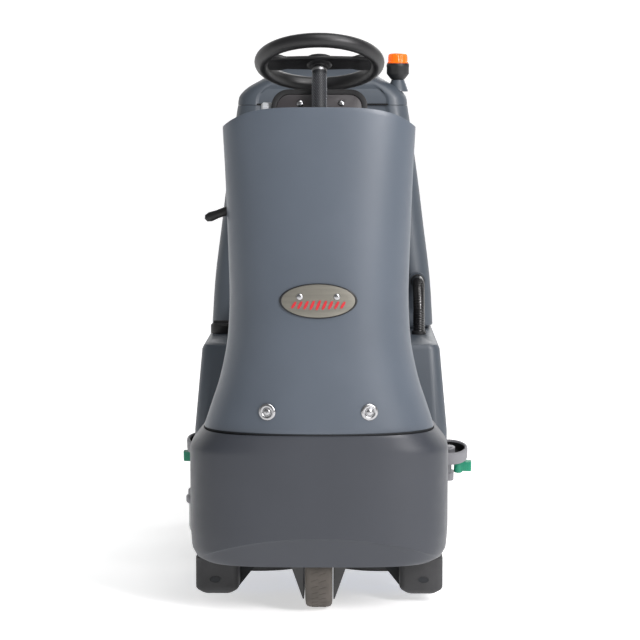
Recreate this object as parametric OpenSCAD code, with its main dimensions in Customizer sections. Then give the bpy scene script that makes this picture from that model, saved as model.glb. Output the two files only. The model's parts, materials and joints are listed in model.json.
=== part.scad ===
// Compact ride-on floor scrubber dryer.
// Frame: front faces -Y, the driver's left is +X, +Z is up, and the floor is z = 0.

/* [Leg shield] */
// Half width of the shield at its waist
shield_waist = 202; // [190:1:215]
// Half width of the shield at its top corners
shield_top_half = 217; // [205:1:230]
// Half width of the shield at the seam with the cowl
shield_foot_half = 261; // [250:1:272]
// Height of the top edge at the middle
shield_top_z = 1136; // [1100:1:1150]
// Thickness of the moulded shield
shield_wall = 5; // [3:0.5:8]

/* [Lower cowl] */
// Half width of the cowl
cowl_half = 294; // [285:1:300]
// Height of the cowl's top edge
cowl_top_z = 414; // [395:1:430]
// Height of the cowl's bottom edge
cowl_bottom_z = 116; // [110:1:130]
// How far the nose stands ahead of the steering axis
nose_reach = 152; // [140:1:175]
// Thickness of the moulded cowl
cowl_wall = 6; // [4:0.5:9]

/* [Steering] */
// Outer diameter of the steering wheel
wheel_od = 296; // [270:1:330]
// Diameter of the rim's tube
rim_d = 33; // [26:1:38]
// Lean of the column towards the driver, in degrees
column_lean = 21; // [15:1:26]
// Height of the steering wheel's centre
wheel_z = 1237; // [1215:1:1250]
// Diameter of the textured column sleeve
sleeve_d = 35; // [32:1:42]
// Diameter of the steering shaft
shaft_d = 24; // [18:1:26]
// Width of the control pod
pod_w = 218; // [190:1:240]

/* [Wheels] */
// Radius of the driven front wheel
front_r = 115; // [100:1:120]
// Width of the front tyre
front_w = 62; // [50:1:64]
// Radius of the rear wheels
rear_r = 125; // [105:1:130]
// Width of the rear wheels
rear_w = 58; // [45:1:62]
// Running clearance on a radius
run_gap = 0.05; // [0.02:0.01:0.1]

/* [Scrub deck] */
// Radius of each brush
brush_r = 130; // [110:1:132]
// Half distance between the brush centres
brush_x = 143; // [140:1:146]
// Outer half width of the deck
deck_half = 284; // [278:1:290]
// Height of the deck's skirt and bristles above the floor when parked
deck_clear = 52; // [48:1:56]
// Height of the front guards above the floor
guard_low = 20; // [12:1:30]

/* [Body] */
// Half width of the lower body
body_half = 309; // [300:1:318]
// Height of the lower body's shoulder
shoulder_z = 564; // [555:1:572]
// Wall of the moulded tanks and body
tank_wall = 6; // [4:0.5:8]
// Height of the recovery tank's rim
tank_top_z = 1142; // [1120:1:1150]
// Height of the closed lid's crown
lid_top_z = 1252; // [1240:1:1262]
// Half width of the seat cushion
seat_half = 192; // [170:1:196]

/* [Squeegee] */
// Half width of the squeegee body
squeegee_half = 330; // [300:1:340]
// Outer diameter of the bumper rollers
roller_d = 104; // [90:1:110]
// Angle the squeegee is raised by when parked
lift_angle = 14; // [10:1:16]
// Swing of the parked squeegee, in degrees
swing_angle = 5; // [0:0.5:8]

/* [Hidden] */
$fn = 48;
skin = 0.3;                                    // rest gap between soft or curved neighbours
steer_y = -515;                                // vertical steering axis
wheel_y = -430;                                // steering wheel centre
column_length = (wheel_y - steer_y) / sin(column_lean);
joint_z = wheel_z - column_length * cos(column_lean);
joint_ball = shaft_d / 2 + 3;
nose_y = steer_y - nose_reach;
seam_z = cowl_top_z + 4;
shield_edge_y = -500;
shield_power = 2.4;
cowl_edge_y = -480;
cowl_back_y = -400;
cowl_power = 3;
rail_x = 205;
rail_w = 30;
rail_low = 160;
rail_high = 200;
beam_low = 250;
beam_high = 280;
beam_y = [-560, -470];
stem_r = 20;
stem_top = 340;
crown_low = front_r * 2 + 6;
crown_high = crown_low + 12;
axle_r = 12;
fork_half = 66;
fork_deep = 62;
fork_sweep = sqrt(fork_half * fork_half + fork_deep * fork_deep) + 3;   // circle the turning fork needs
rear_y = 330;
rear_inner_x = 235;
platform_z = 222;
body_front = -140;
body_back = 540;
body_heel = 482;                                // the floor ends here and the back slopes up from it
body_floor = 2 * rear_r + 12;
tank_front = 225;
deck_y = -235;
deck_plate = deck_clear + 65;
deck_top = deck_plate + 20;
lift_y = 260;
lift_z = 190;
swing_y = 450;
roller_z = 142;
lean = [-column_lean, 0, 0];

// ---------- helpers ----------
// Signed power, for rounded-rectangle curves
function bend(v, p) = sign(v) * pow(abs(v), p);

// Straight-line value between points [[x, y], ...] in rising x
function along(t, table, i = 0) =
    i >= len(table) - 1 || t <= table[i][0] ? table[min(i, len(table) - 1)][1] :
    t <= table[i + 1][0]
        ? table[i][1] + (table[i + 1][1] - table[i][1])
            * (t - table[i][0]) / (table[i + 1][0] - table[i][0])
        : along(t, table, i + 1);

// Rounded rectangle at height z, anticlockwise from above
function ring(half, y0, y1, r, z, n = 5) = [
    for (corner = [[1, 1, 0], [-1, 1, 90], [-1, -1, 180], [1, -1, 270]])
        for (i = [0:n])
            let (a = corner[2] + 90 * i / n,
                 cx = corner[0] * (half - r),
                 cy = corner[1] > 0 ? y1 - r : y0 + r)
            [cx + r * cos(a), cy + r * sin(a), z]
];

// Closed solid through rings with the same number of points; the ends are flat
module loft(rings) {
    n = len(rings[0]);
    points = [for (r = rings) for (p = r) p];
    sides = [for (k = [0:len(rings) - 2]) for (i = [0:n - 1])
        let (j = (i + 1) % n, a = k * n + i, b = k * n + j)
        each [[a, a + n, b + n], [a, b + n, b]]];
    first = [for (i = [0:n - 1]) i];
    last = [for (i = [n - 1:-1:0]) (len(rings) - 1) * n + i];
    polyhedron(points, concat([first], sides, [last]));
}

// Thick sheet: each ring is an outer curve and then the inner curve backwards
module sheet(rings) {
    n = len(rings[0]);
    half = n / 2;
    top = (len(rings) - 1) * n;
    points = [for (r = rings) for (p = r) p];
    sides = [for (k = [0:len(rings) - 2]) for (i = [0:n - 1])
        let (j = (i + 1) % n, a = k * n + i, b = k * n + j)
        each [[a, a + n, b + n], [a, b + n, b]]];
    low = [for (i = [0:half - 2]) let (j = n - 1 - i)
        each [[i, i + 1, j - 1], [i, j - 1, j]]];
    high = [for (f = low) [top + f[2], top + f[1], top + f[0]]];
    polyhedron(points, concat(low, sides, high));
}

// Round tube along a path of points
module hose(path, r, sides = 12) {
    n = len(path);
    rings = [for (i = [0:n - 1])
        let (d = path[min(i + 1, n - 1)] - path[max(i - 1, 0)],
             t = d / norm(d),
             u0 = cross(t, [1, 0.2, 0]),
             u = u0 / norm(u0),
             v = cross(t, u))
        [for (s = [0:sides - 1]) path[i] + r * (u * cos(360 * s / sides) + v * sin(360 * s / sides))]];
    loft(rings);
}

// Flat rounded rectangle centred on the origin
module round_rect(w, h, r) {
    square([w - 2 * r, h], center = true);
    square([w, h - 2 * r], center = true);
    for (x = [-1, 1], y = [-1, 1])
        translate([x * (w / 2 - r), y * (h / 2 - r)])
            circle(r);
}

// Slab with rounded upright corners, standing on its centre
module slab(w, d, h, r) {
    linear_extrude(h)
        round_rect(w, d, r);
}

// Box between two corners
module box(low, high) {
    translate(low)
        cube(high - low);
}

// Cylinder along X, Y or Z that starts at a point
module rod(r, length, at, along_axis = "z") {
    turn = along_axis == "x" ? [0, 90, 0] : along_axis == "y" ? [-90, 0, 0] : [0, 0, 0];
    translate(at)
        rotate(turn)
            cylinder(h = length, r = r);
}

// The same shape on both sides of the machine
module both_sides() {
    children();
    mirror([1, 0, 0])
        children();
}

// Frame of the leaning column: the origin is the steering wheel's centre
module on_column() {
    translate([0, wheel_y, wheel_z])
        rotate(lean)
            children();
}

// ---------- front skin curves ----------
function shield_half(z) = along(z, [
    [seam_z, shield_foot_half], [475, shield_waist + 40], [515, shield_waist + 26],
    [563, shield_waist + 14], [615, shield_waist + 5], [690, shield_waist],
    [760, shield_waist + 1], [990, (shield_waist + shield_top_half) / 2 + 2],
    [shield_top_z - 40, shield_top_half], [shield_top_z, shield_top_half]]);
function shield_depth(z) = along(z, [
    [seam_z, shield_edge_y - nose_y - 2], [700, shield_edge_y - nose_y - 17],
    [shield_top_z, shield_edge_y - nose_y - 50]]);
function shield_point(s, z, inset) =
    let (half = shield_half(z) - inset, depth = shield_depth(z) - inset)
    [half * bend(sin(s), 2 / shield_power), shield_edge_y - depth * pow(cos(s), 2 / shield_power)];
function shield_y(x, z) =
    shield_edge_y - shield_depth(z)
        * pow(1 - pow(abs(x) / shield_half(z), shield_power), 1 / shield_power);
shield_steps = 14;
shield_rows = 13;

function cowl_section(z) = along(z, [
    [cowl_bottom_z, cowl_half - 30], [cowl_bottom_z + 8, cowl_half - 14],
    [cowl_bottom_z + 26, cowl_half - 4], [cowl_bottom_z + 70, cowl_half - 1],
    [cowl_top_z - 44, cowl_half], [cowl_top_z - 37, cowl_half - 3], [cowl_top_z, shield_foot_half + 1]]);
function crease_z(s) = cowl_bottom_z + 68 - 62 * pow(abs(sin(s)), 1.6);
function cowl_tuck(s, z) = z < crease_z(s) ? 20 * (crease_z(s) - z) / 68 : 0;
function cowl_point(s, z, inset) =
    let (half = cowl_section(z) - inset,
         depth = cowl_edge_y - nose_y - inset - cowl_tuck(s, z))
    [half * bend(sin(s), 2 / cowl_power), cowl_edge_y - depth * pow(cos(s), 2 / cowl_power)];
cowl_steps = 16;
function cowl_y(x, z) =
    cowl_edge_y - (cowl_edge_y - nose_y) * pow(1 - pow(abs(x) / cowl_section(z), cowl_power), 1 / cowl_power);

// ---------- front casings ----------
module leg_shield() {
    color("#5b656f")
        difference() {
            sheet([for (k = [0:shield_rows])
                let (v = k / shield_rows)
                concat(
                    [for (i = [-shield_steps:shield_steps])
                        let (s = 90 * i / shield_steps,
                             z = seam_z + v * (shield_top_z - 43 * pow(abs(sin(s)), 3.4) - seam_z),
                             p = shield_point(s, z, 0))
                        [p[0], p[1], z]],
                    [for (i = [shield_steps:-1:-shield_steps])
                        let (s = 90 * i / shield_steps,
                             z = seam_z + v * (shield_top_z - 43 * pow(abs(sin(s)), 3.4) - seam_z),
                             p = shield_point(s, z, shield_wall))
                        [p[0], p[1], z]])]);
            at_shield_bolts()
                rod(shank_r + 0.3, 60, [0, 0, -30]);
        }
}

module lower_cowl() {
    color("#4b4f57")
        sheet([for (z = [cowl_bottom_z, cowl_bottom_z + 8, cowl_bottom_z + 18, cowl_bottom_z + 32,
                cowl_bottom_z + 50, cowl_bottom_z + 68, cowl_bottom_z + 120, cowl_bottom_z + 190,
                cowl_top_z - 44, cowl_top_z - 37, cowl_top_z - 18, cowl_top_z])
            concat(
                [[-cowl_section(z), cowl_back_y, z]],
                [for (i = [-cowl_steps:cowl_steps])
                    let (p = cowl_point(90 * i / cowl_steps, z, 0)) [p[0], p[1], z]],
                [[cowl_section(z), cowl_back_y, z], [cowl_section(z) - cowl_wall, cowl_back_y, z]],
                [for (i = [cowl_steps:-1:-cowl_steps])
                    let (p = cowl_point(90 * i / cowl_steps, z, cowl_wall)) [p[0], p[1], z]],
                [[-cowl_section(z) + cowl_wall, cowl_back_y, z]])]);
}

badge_half = [86, 38.5];
badge_z = 712;
badge_thick = 3;
module badge_plate() {
    color("#8f8d83")
        loft([for (i = [-12:12])
                let (x = badge_half[0] * sin(i * 7.4),
                     h = badge_half[1] * cos(i * 7.4),
                     low_y = shield_y(x, badge_z - h) - skin,
                     high_y = shield_y(x, badge_z + h) - skin)
                [[x, low_y, badge_z - h], [x, high_y, badge_z + h],
                 [x, high_y - badge_thick, badge_z + h], [x, low_y - badge_thick, badge_z - h]]]);
}

module dome_screw(r, h) {
    rotate_extrude()
        polygon(concat([[0, 0], [r, 0]], [for (i = [1:5]) [r * cos(18 * i), h * sin(18 * i)]]));
}

bolt_x = 113;
bolt_z = 466;
bolt_turn = 13;
bolt_y = shield_y(bolt_x, bolt_z);
shank_r = 4;
module at_shield_bolts() {
    for (x = [-1, 1])
        translate([x * bolt_x, bolt_y, bolt_z])
            rotate([0, 0, x * bolt_turn])
                rotate([90, 0, 0])
                    children();
}

module trim_screws() {
    badge_screw_z = badge_z + 9;
    color("silver") {
        for (x = [-1, 1])
            translate([x * 41, shield_y(33, badge_screw_z - 8) - badge_thick - 2 * skin, badge_screw_z])
                rotate([90, 0, 0])
                    dome_screw(7.5, 3.5);
        at_shield_bolts()
            union() {
                translate([0, 0, 1.2])
                    rotate_extrude()
                        polygon([[0, 0], [17, 0], [19, 1.5], [17.5, 3.5], [12, 4], [9.5, 2], [0, 2]]);
                translate([0, 0, 2.5])
                    dome_screw(8, 4.5);
                rod(shank_r, 22, [0, 0, -20]);
            }
        on_column()
            for (x = [-44, 50])
                translate([x, pod_front + skin, pod_high - 34])
                    rotate([90, 0, 0])
                        dome_screw(x < 0 ? 9 : 7, 5);
    }
}

// ---------- frame and steering ----------
rail_back = 480;
bracket_x = 110;
filter_top = 186;
pivot_y = lift_y + 40;
pivot_z = lift_z - 12;
pin_r = 10;
guard_w = 99;
guard_x = deck_half - guard_w / 2;
guard_high = 105;
guard_y = [-490, -385];
// Moulded guard ahead of the brushes, its sloped web and the post that carries it
module front_guard() {
    difference() {
        translate([guard_x, (guard_y[0] + guard_y[1]) / 2, guard_low])
            slab(guard_w, guard_y[1] - guard_y[0], guard_high - guard_low, 14);
        rod(8, 14, [guard_x, guard_y[0] - 2, guard_low + 32], "y");
    }
    translate([0, guard_y[1] - 3, 0])
        rotate([90, 0, 0])
            linear_extrude(12)
                polygon([[guard_x - guard_w / 2 + 3, guard_low + 2], [guard_x, guard_low + 2],
                    [guard_x, guard_high], [guard_x - guard_w / 2 - 60, guard_high]]);
    box([rail_x - rail_w / 2, -465, guard_high - 5], [rail_x + rail_w / 2, -440, rail_low + 5]);
}

module chassis_frame() {
    inner = rail_x - rail_w / 2;
    outer = rail_x + rail_w / 2;
    color("#1d1e20")
        difference() {
            union() {
                both_sides() {
                    box([inner, -470, rail_low], [outer, rail_back, rail_high]);
                    box([inner, -470, rail_high - 5], [outer, -435, beam_high]);
                    box([inner, rear_y - 30, rear_r - 20], [outer, rear_y + 30, rail_low + 5]);
                    box([inner, rail_back - 40, rail_high - 5], [outer, rail_back, body_floor - 0.8]);
                    box([40, pivot_y - 20, pivot_z - 20], [52, pivot_y + 20, rail_high]);
                    box([bracket_x - 20, cowl_y(bracket_x, beam_low) + cowl_wall + 2 * skin, beam_low + 10],
                        [bracket_x, beam_y[0] + 5, beam_low + 22]);
                }
                box([-outer, beam_y[0], beam_low], [outer, -435, beam_high]);
                box([-rail_x, -60, rail_low], [rail_x, -20, rail_high]);
                box([-outer - 70, -30, filter_top + skin], [-outer + 1, 10, rail_high]);
                box([-rail_x, lift_y - 20, rail_low + 14], [rail_x, pivot_y - 24, rail_high]);
                rod(38, 32, [0, steer_y, beam_low - 2]);
                both_sides()
                    front_guard();
            }
            rod(stem_r + run_gap, 200, [0, steer_y, 200]);
            rod(axle_r, 600, [-300, rear_y, rear_r], "x");
            rod(pin_r, 200, [-100, pivot_y, pivot_z], "x");
        }
    color("silver")
        rod(pin_r - 0.02, 110, [-55, pivot_y, pivot_z], "x");
}

module wheel_fork() {
    color("#161617")
        union() {
            both_sides()
                rotate([90, 0, 0])
                    translate([0, 0, -steer_y - fork_deep])
                        difference() {
                            linear_extrude(2 * fork_deep)
                                polygon([[front_w / 2 + 2, 30], [front_w / 2 + 5, 30], [fork_half, front_r],
                                    [fork_half, crown_high], [front_w / 2 + 2, crown_high]]);
                            translate([0, front_r, fork_deep])
                                rotate([0, 90, 0])
                                    cylinder(h = 100, r = axle_r + run_gap);
                        }
            box([-fork_half, steer_y - fork_deep, crown_low], [fork_half, steer_y + fork_deep, crown_high]);
            rod(stem_r, stem_top - crown_low, [0, steer_y, crown_low]);
        }
}

module front_tyre() {
    color("#56514b")
        translate([0, steer_y, front_r])
            rotate([0, 90, 0])
                rotate_extrude($fn = 72)
                    polygon([[72, -front_w / 2 + 3], [front_r - 14, -front_w / 2], [front_r - 4, -front_w / 2 + 4],
                        [front_r, -front_w / 2 + 12], [front_r, front_w / 2 - 12],
                        [front_r - 4, front_w / 2 - 4], [front_r - 14, front_w / 2], [72, front_w / 2 - 3]]);
}

module front_hub() {
    color("#8a8d90")
        union() {
            rod(72, front_w - 6, [-front_w / 2 + 3, steer_y, front_r], "x");
            rod(axle_r, 130, [-65, steer_y, front_r], "x");
        }
}

module steer_shaft() {
    color("#5a5c60")
        union() {
            rod(stem_r, 30, [0, steer_y, stem_top]);
            rod(shaft_d / 2, joint_z - stem_top, [0, steer_y, stem_top]);
            translate([0, steer_y, joint_z])
                sphere(joint_ball);
        }
}

module steering_column() {
    color("#5a5c60")
        on_column()
            union() {
                rod(shaft_d / 2, column_length - joint_ball - 8, [0, 0, -column_length + joint_ball + 4]);
                translate([0, 0, -column_length])
                    difference() {
                        cylinder(h = joint_ball + 8, r = joint_ball + 4);
                        sphere(joint_ball + skin);
                        translate([0, 0, -1])
                            cylinder(h = 2, r = joint_ball + 1);
                    }
            }
}

sleeve_low = -column_length + joint_ball + 12;
module column_sleeve() {
    color("#17181a")
        on_column()
            difference() {
                rod(sleeve_d / 2, -16 - sleeve_low, [0, 0, sleeve_low]);
                rod(shaft_d / 2 + run_gap, 400, [0, 0, -380]);
            }
}

module steering_wheel() {
    ring_r = (wheel_od - rim_d) / 2;
    color("#111112")
        on_column()
            difference() {
                union() {
                    rotate_extrude($fn = 96)
                        translate([ring_r, 0])
                            circle(rim_d / 2);
                    box([-ring_r, -30, -6], [ring_r, 30, 8]);
                    rod(40, 20, [0, 0, -8]);
                    rod(24, 6, [0, 0, -14]);
                }
                rod(shaft_d / 2, 60, [0, 0, -64]);
            }
}

tower_half = 45;
tower_y = [-555, -475];
tower_top = 960;
clamp_z = sleeve_low + 20;
lever_pivot = [-134, -490, 930];
lever_pin_r = 5;
module shield_pad(x0, x1, z, tall) {
    front = shield_y(x1, z) + shield_wall + 2;
    both_sides() {
        box([tower_half - 5, tower_y[0], z - tall / 2], [x1, tower_y[0] + 20, z - tall / 2 + 4]);
        box([x0, front, z - tall / 2], [x1, tower_y[0] + 20, z - tall / 2 + 4]);
        box([x0, front, z - tall / 2], [x1, front + 4, z + tall / 2]);
    }
}

module steering_tower() {
    color("#202123")
        difference() {
            union() {
                box([-tower_half, tower_y[0], beam_high], [tower_half, tower_y[1], tower_top]);
                both_sides()
                    box([41, -545, tower_top - 20], [52, -494, 1052]);
                on_column()
                    box([-52, -26, clamp_z], [52, 22, clamp_z + 26]);
                shield_pad(bolt_x - 13, bolt_x + 13, bolt_z, 28);
                shield_pad(112, 138, 948, 24);
                box([lever_pivot[0] - 16, -506, lever_pivot[2] - 16], [-40, -494, lever_pivot[2] + 16]);
                rod(lever_pin_r, 40, [lever_pivot[0], -500, lever_pivot[2]], "y");
            }
            box([-tower_half + 4, tower_y[0] + 4, beam_high - 1], [tower_half - 4, tower_y[1] - 4, tower_top + 1]);
            on_column()
                rod(sleeve_d / 2 + 0.02, 100, [0, 0, clamp_z - 40]);
            at_shield_bolts()
                rod(shank_r + 0.3, 60, [0, 0, -40]);
            rod(39, 60, [0, steer_y, beam_high - 10]);
        }
}

cover_back = -432;
module tower_cover() {
    wall = 4;
    round = 40;
    mid = cover_back - round;
    color("#33373c")
        sheet([for (row = [[beam_high + skin, 190], [330, 178], [480, 150], [700, 128], [900, 118], [985, 112]])
            let (z = row[0], half = row[1])
            concat(
                [[half, -490, z]],
                [for (a = [0:15:90]) [half - round + round * cos(a), mid + round * sin(a), z]],
                [for (a = [90:15:180]) [-half + round + round * cos(a), mid + round * sin(a), z]],
                [[-half, -490, z], [-half + wall, -490, z]],
                [for (a = [180:-15:90])
                    [-half + round + (round - wall) * cos(a), mid + (round - wall) * sin(a), z]],
                [for (a = [90:-15:0])
                    [half - round + (round - wall) * cos(a), mid + (round - wall) * sin(a), z]],
                [[half - wall, -490, z]])]);
}

// ---------- control pod ----------
pod_front = 26;
pod_depth = 50;
pod_low = -222;
pod_high = -54;
pod_mid = (pod_low + pod_high) / 2;
pod_face = pod_front + pod_depth;
// Places a flat outline in the pod's plane; the extrusion runs towards the driver
module on_pod(y) {
    on_column()
        translate([0, y, pod_mid])
            rotate([90, 0, 180])
                children();
}

button_x = [36, 62, 88];
button_z = pod_mid - 40;
stop_at = [-62, pod_mid - 38];
key_z = pod_mid - 44;
module control_pod() {
    tall = pod_high - pod_low;
    color("#17181a")
        union() {
            difference() {
                on_pod(pod_front)
                    slab(pod_w, tall, pod_depth, 40);
                on_pod(pod_front - 1)
                    slab(pod_w - 24, tall - 24, 5, 30);
                on_pod(pod_front + 8)
                    slab(pod_w - 16, tall - 16, pod_depth - 14, 32);
                on_pod(pod_face - 8)
                    translate([0, 34, 0])
                        slab(102, 62, 20, 6);
                on_column() {
                    rod(12, 40, [stop_at[0], pod_face - 20, stop_at[1]], "y");
                    rod(8, 40, [0, pod_face - 20, key_z], "y");
                    for (x = button_x)
                        rod(7, 40, [x, pod_face - 20, button_z], "y");
                }
            }
            on_column()
                difference() {
                    box([-28, -24, pod_mid - 16], [28, pod_front + 6, pod_mid + 22]);
                    rod(sleeve_d / 2 + 0.02, 200, [0, 0, pod_mid - 60]);
                }
        }
}

module pod_plate() {
    tall = pod_high - pod_low;
    color("#5a5558")
        difference() {
            on_pod(pod_front + skin)
                slab(pod_w - 26, tall - 26, 3, 29);
            on_column()
                box([-29, pod_front - 5, pod_mid - 17], [29, pod_front + 8, pod_mid + 23]);
        }
}

module display_panel() {
    color("#2b4a3a")
        on_pod(pod_face - 5)
            translate([0, 34, 0])
                slab(100, 60, 7, 5);
}

module key_switch() {
    color("silver")
        on_column()
            translate([0, pod_face + 1, key_z])
                rotate([-90, 0, 0])
                    union() {
                        cylinder(h = 8, r = 10);
                        rod(7.9, 14, [0, 0, -12]);
                        box([-1.5, -14, 8], [1.5, 14, 26]);
                    }
}

module stop_button() {
    color("#c01818")
        on_column()
            translate([stop_at[0], pod_face + 8, stop_at[1]])
                rotate([-90, 0, 0])
                    union() {
                        rod(11.9, 26, [0, 0, -22]);
                        rotate_extrude()
                            polygon([[0, 4], [18, 4], [20, 8], [18, 14], [8, 18], [0, 18.5]]);
                    }
}

module pod_button(x) {
    color("#d9dcde")
        on_column()
            translate([x, pod_face, button_z])
                rotate([-90, 0, 0])
                    union() {
                        rod(6.9, 18, [0, 0, -14]);
                        rod(9, 3, [0, 0, 3]);
                    }
}

dial_x = -pod_w / 2 - skin;
module speed_dial() {
    color("#c9cdd1")
        on_column()
            translate([dial_x, pod_front + 24, pod_high - 40])
                rotate([0, -90, 0])
                    union() {
                        cylinder(h = 20, r = 15);
                        translate([0, 0, 20])
                            cylinder(h = 3, r1 = 15, r2 = 12);
                    }
}

module squeegee_lever() {
    color("#141415")
        translate(lever_pivot)
            difference() {
                union() {
                    rod(11, 20, [0, 0, 0], "y");
                    translate([0, 10, 0])
                        rotate([0, 250, 0]) {
                            rod(6, 95, [0, 0, 0]);
                            rotate_extrude()
                                polygon([[0, 62], [9, 62], [10.5, 70], [9.5, 102], [11, 120], [8, 130], [0, 134]]);
                        }
                }
                rod(lever_pin_r + run_gap, 60, [0, -20, 0], "y");
            }
}

// ---------- platform and pedals ----------
pedal_y = -345;
pedal_pin_r = 5;
pedal_pin_z = platform_z + 14;
pedals = [[-115, 84], [115, 70]];
platform_back = body_front - 4;
platform_front = cowl_back_y + 4;
module foot_platform() {
    half = body_half - 12;
    color("#2a2c2f")
        difference() {
            union() {
                translate([0, (platform_back + platform_front) / 2, rail_high])
                    slab(2 * half, platform_back - platform_front, platform_z - rail_high, 18);
                box([-half + 30, steer_y + fork_sweep, rail_high], [half - 30, platform_front + 20, platform_z]);
                for (p = pedals, side = [-1, 1])
                    translate([p[0] + side * (p[1] / 2 + 5), pedal_y, 0])
                        box([-3.5, -8, platform_z - 1], [3.5, 8, pedal_pin_z + 8]);
            }
            both_sides()
                rod(46, 60, [brush_x, deck_y, rail_high - 30]);
            both_sides()
                box([rail_x - rail_w / 2 - 0.5, -470, rail_high - 2], [rail_x + rail_w / 2 + 0.5, -430, platform_z + 2]);
            for (p = pedals)
                rod(pedal_pin_r + run_gap, p[1] + 40, [p[0] - p[1] / 2 - 20, pedal_y, pedal_pin_z], "x");
        }
}

module pedal(x, w) {
    translate([x, pedal_y, pedal_pin_z])
        rotate([-26, 0, 0])
            translate([0, 0, 3])
                linear_extrude(9)
                    translate([0, -38])
                        round_rect(w, 88, 10);
    rod(pedal_pin_r, w + 17, [x - w / 2 - 8.5, pedal_y, pedal_pin_z], "x");
}

module drive_pedal() {
    color("#1a1a1b")
        pedal(pedals[0][0], pedals[0][1]);
}

module brake_pedal() {
    color("#1a1a1b")
        pedal(pedals[1][0], pedals[1][1]);
}

// ---------- body, tanks, seat ----------
deck_half_w = 219;
filler_at = [-254, 120];
neck_r = 22;
vac_x = 246;
vac_y = 96;
vac_hose_r = 15;
function body_half_at(z) = along(z, [
    [350, body_half], [462, body_half - 10], [shoulder_z, body_half - 20]]);
module lower_body() {
    lip = deck_half_w - 12;
    skirt_back = rear_y - rear_r - 22;
    outer = [[rail_high + skin, 14], [rail_high + 8, 6], [240, 2], [body_floor - 0.5, 0]];
    color("#525b64")
        difference() {
            loft(concat(
                [for (row = outer) ring(body_half - row[1], body_front + row[1], skirt_back, 24, row[0])],
                [ring(body_half, body_front, body_heel, 30, body_floor)],
                [for (z = [350, 462, shoulder_z - 14]) ring(body_half_at(z), body_front, body_back, 30, z)],
                [ring(body_half_at(shoulder_z) - 4, body_front + 4, body_back - 4, 26, shoulder_z - 4),
                 ring(body_half_at(shoulder_z) - 14, body_front + 14, body_back - 14, 20, shoulder_z),
                 ring(lip, body_front + 30, tank_front - 10, 12, shoulder_z),
                 ring(lip, body_front + 30, tank_front - 10, 12, shoulder_z - tank_wall)],
                [for (z = [shoulder_z - tank_wall - 2, 462, 350])
                    ring(body_half_at(z) - tank_wall, body_front + tank_wall, body_back - tank_wall, 24, z)],
                [ring(body_half - tank_wall, body_front + tank_wall, body_heel - tank_wall, 24,
                    body_floor + tank_wall)]));
            rod(neck_r + 2, 60, [filler_at[0], filler_at[1], shoulder_z - 40]);
            rod(vac_hose_r + 0.5, 60, [vac_x, vac_y, shoulder_z - 40]);
        }
    color("#1d1e20")
        union() {
            rod(5, 280, [-140, seat_hinge[0], seat_hinge[1]], "x");
            both_sides()
                box([122, seat_hinge[0] - 8, 520], [132, body_front - 0.5, seat_hinge[1] + 8]);
        }
}

module batteries() {
    color("#2e3033")
        for (x = [-1, 1])
            difference() {
                union() {
                    box([x * 88 - 82, -100, body_floor + tank_wall + skin], [x * 88 + 82, 190, 500]);
                    for (y = [-70, 160])
                        rod(9, 16, [x * 88, y, 499]);
                }
                for (y = [-40, 120])
                    box([x * 88 - 60, y, 490], [x * 88 + 60, y + 12, 501]);
            }
}

module solution_tank() {
    low = body_floor + tank_wall + skin;
    color("#7f8790")
        difference() {
            union() {
                box([-279, 216, low], [100, body_heel - 12, 540]);
                box([-279, 70, 300], [-205, 217, 540]);
                rod(neck_r, shoulder_z + 10 - 539, [filler_at[0], filler_at[1], 539]);
            }
            box([-273, 222, low + 6], [94, body_heel - 18, 534]);
            box([-273, 76, 306], [-211, 223, 534]);
            rod(neck_r - 4, 60, [filler_at[0], filler_at[1], 520]);
        }
}

module filler_cap() {
    color("#1c1d1f")
        translate([filler_at[0], filler_at[1], shoulder_z + skin])
            difference() {
                union() {
                    rod(neck_r + 7, 22, [0, 0, 0]);
                    rod(neck_r + 4, 4, [0, 0, 21]);
                    box([-22, -4, 20], [22, 4, 32]);
                }
                rod(neck_r + 0.3, 11 + skin, [0, 0, -1]);
            }
}

function tank_half_at(z) = along(z, [
    [570, 288], [695, 280], [834, 263], [948, 249], [1103, 227], [tank_top_z, 221]]);
function tank_front_at(z) = along(z, [[570, tank_front], [tank_top_z, 262]]);
function tank_back_at(z) = along(z, [[570, 536], [900, 528], [tank_top_z, 500]]);
tank_low = shoulder_z + skin;
vac_top_z = 690;
suction_in = [-150, tank_low + 90];
module recovery_tank() {
    rows = [tank_low + 10, 695, 834, 948, 1050, 1103, tank_top_z];
    color("#57616b")
        difference() {
            union() {
                loft(concat(
                    [ring(tank_half_at(570) - 12, tank_front + 10, 524, 40, tank_low)],
                    [for (z = rows) ring(tank_half_at(z), tank_front_at(z), tank_back_at(z), 46, z)],
                    [for (i = [len(rows) - 1:-1:0]) let (z = rows[i])
                        ring(tank_half_at(z) - tank_wall, tank_front_at(z) + tank_wall,
                            tank_back_at(z) - tank_wall, 40, z)]));
                rod(22, 32, [vac_x, 216, vac_top_z], "y");
                rod(26, 34, [suction_in[0], 516, suction_in[1]], "y");
                both_sides() {
                    box([142, 501, 1118], [152, hinge_y + 8, lid_low + 8]);
                    rod(5, 56, [90, hinge_y, lid_low + 2], "x");
                }
            }
            rod(vac_hose_r + 0.5, 60, [vac_x, 200, vac_top_z], "y");
            rod(20, 60, [suction_in[0], 500, suction_in[1]], "y");
        }
}

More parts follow.
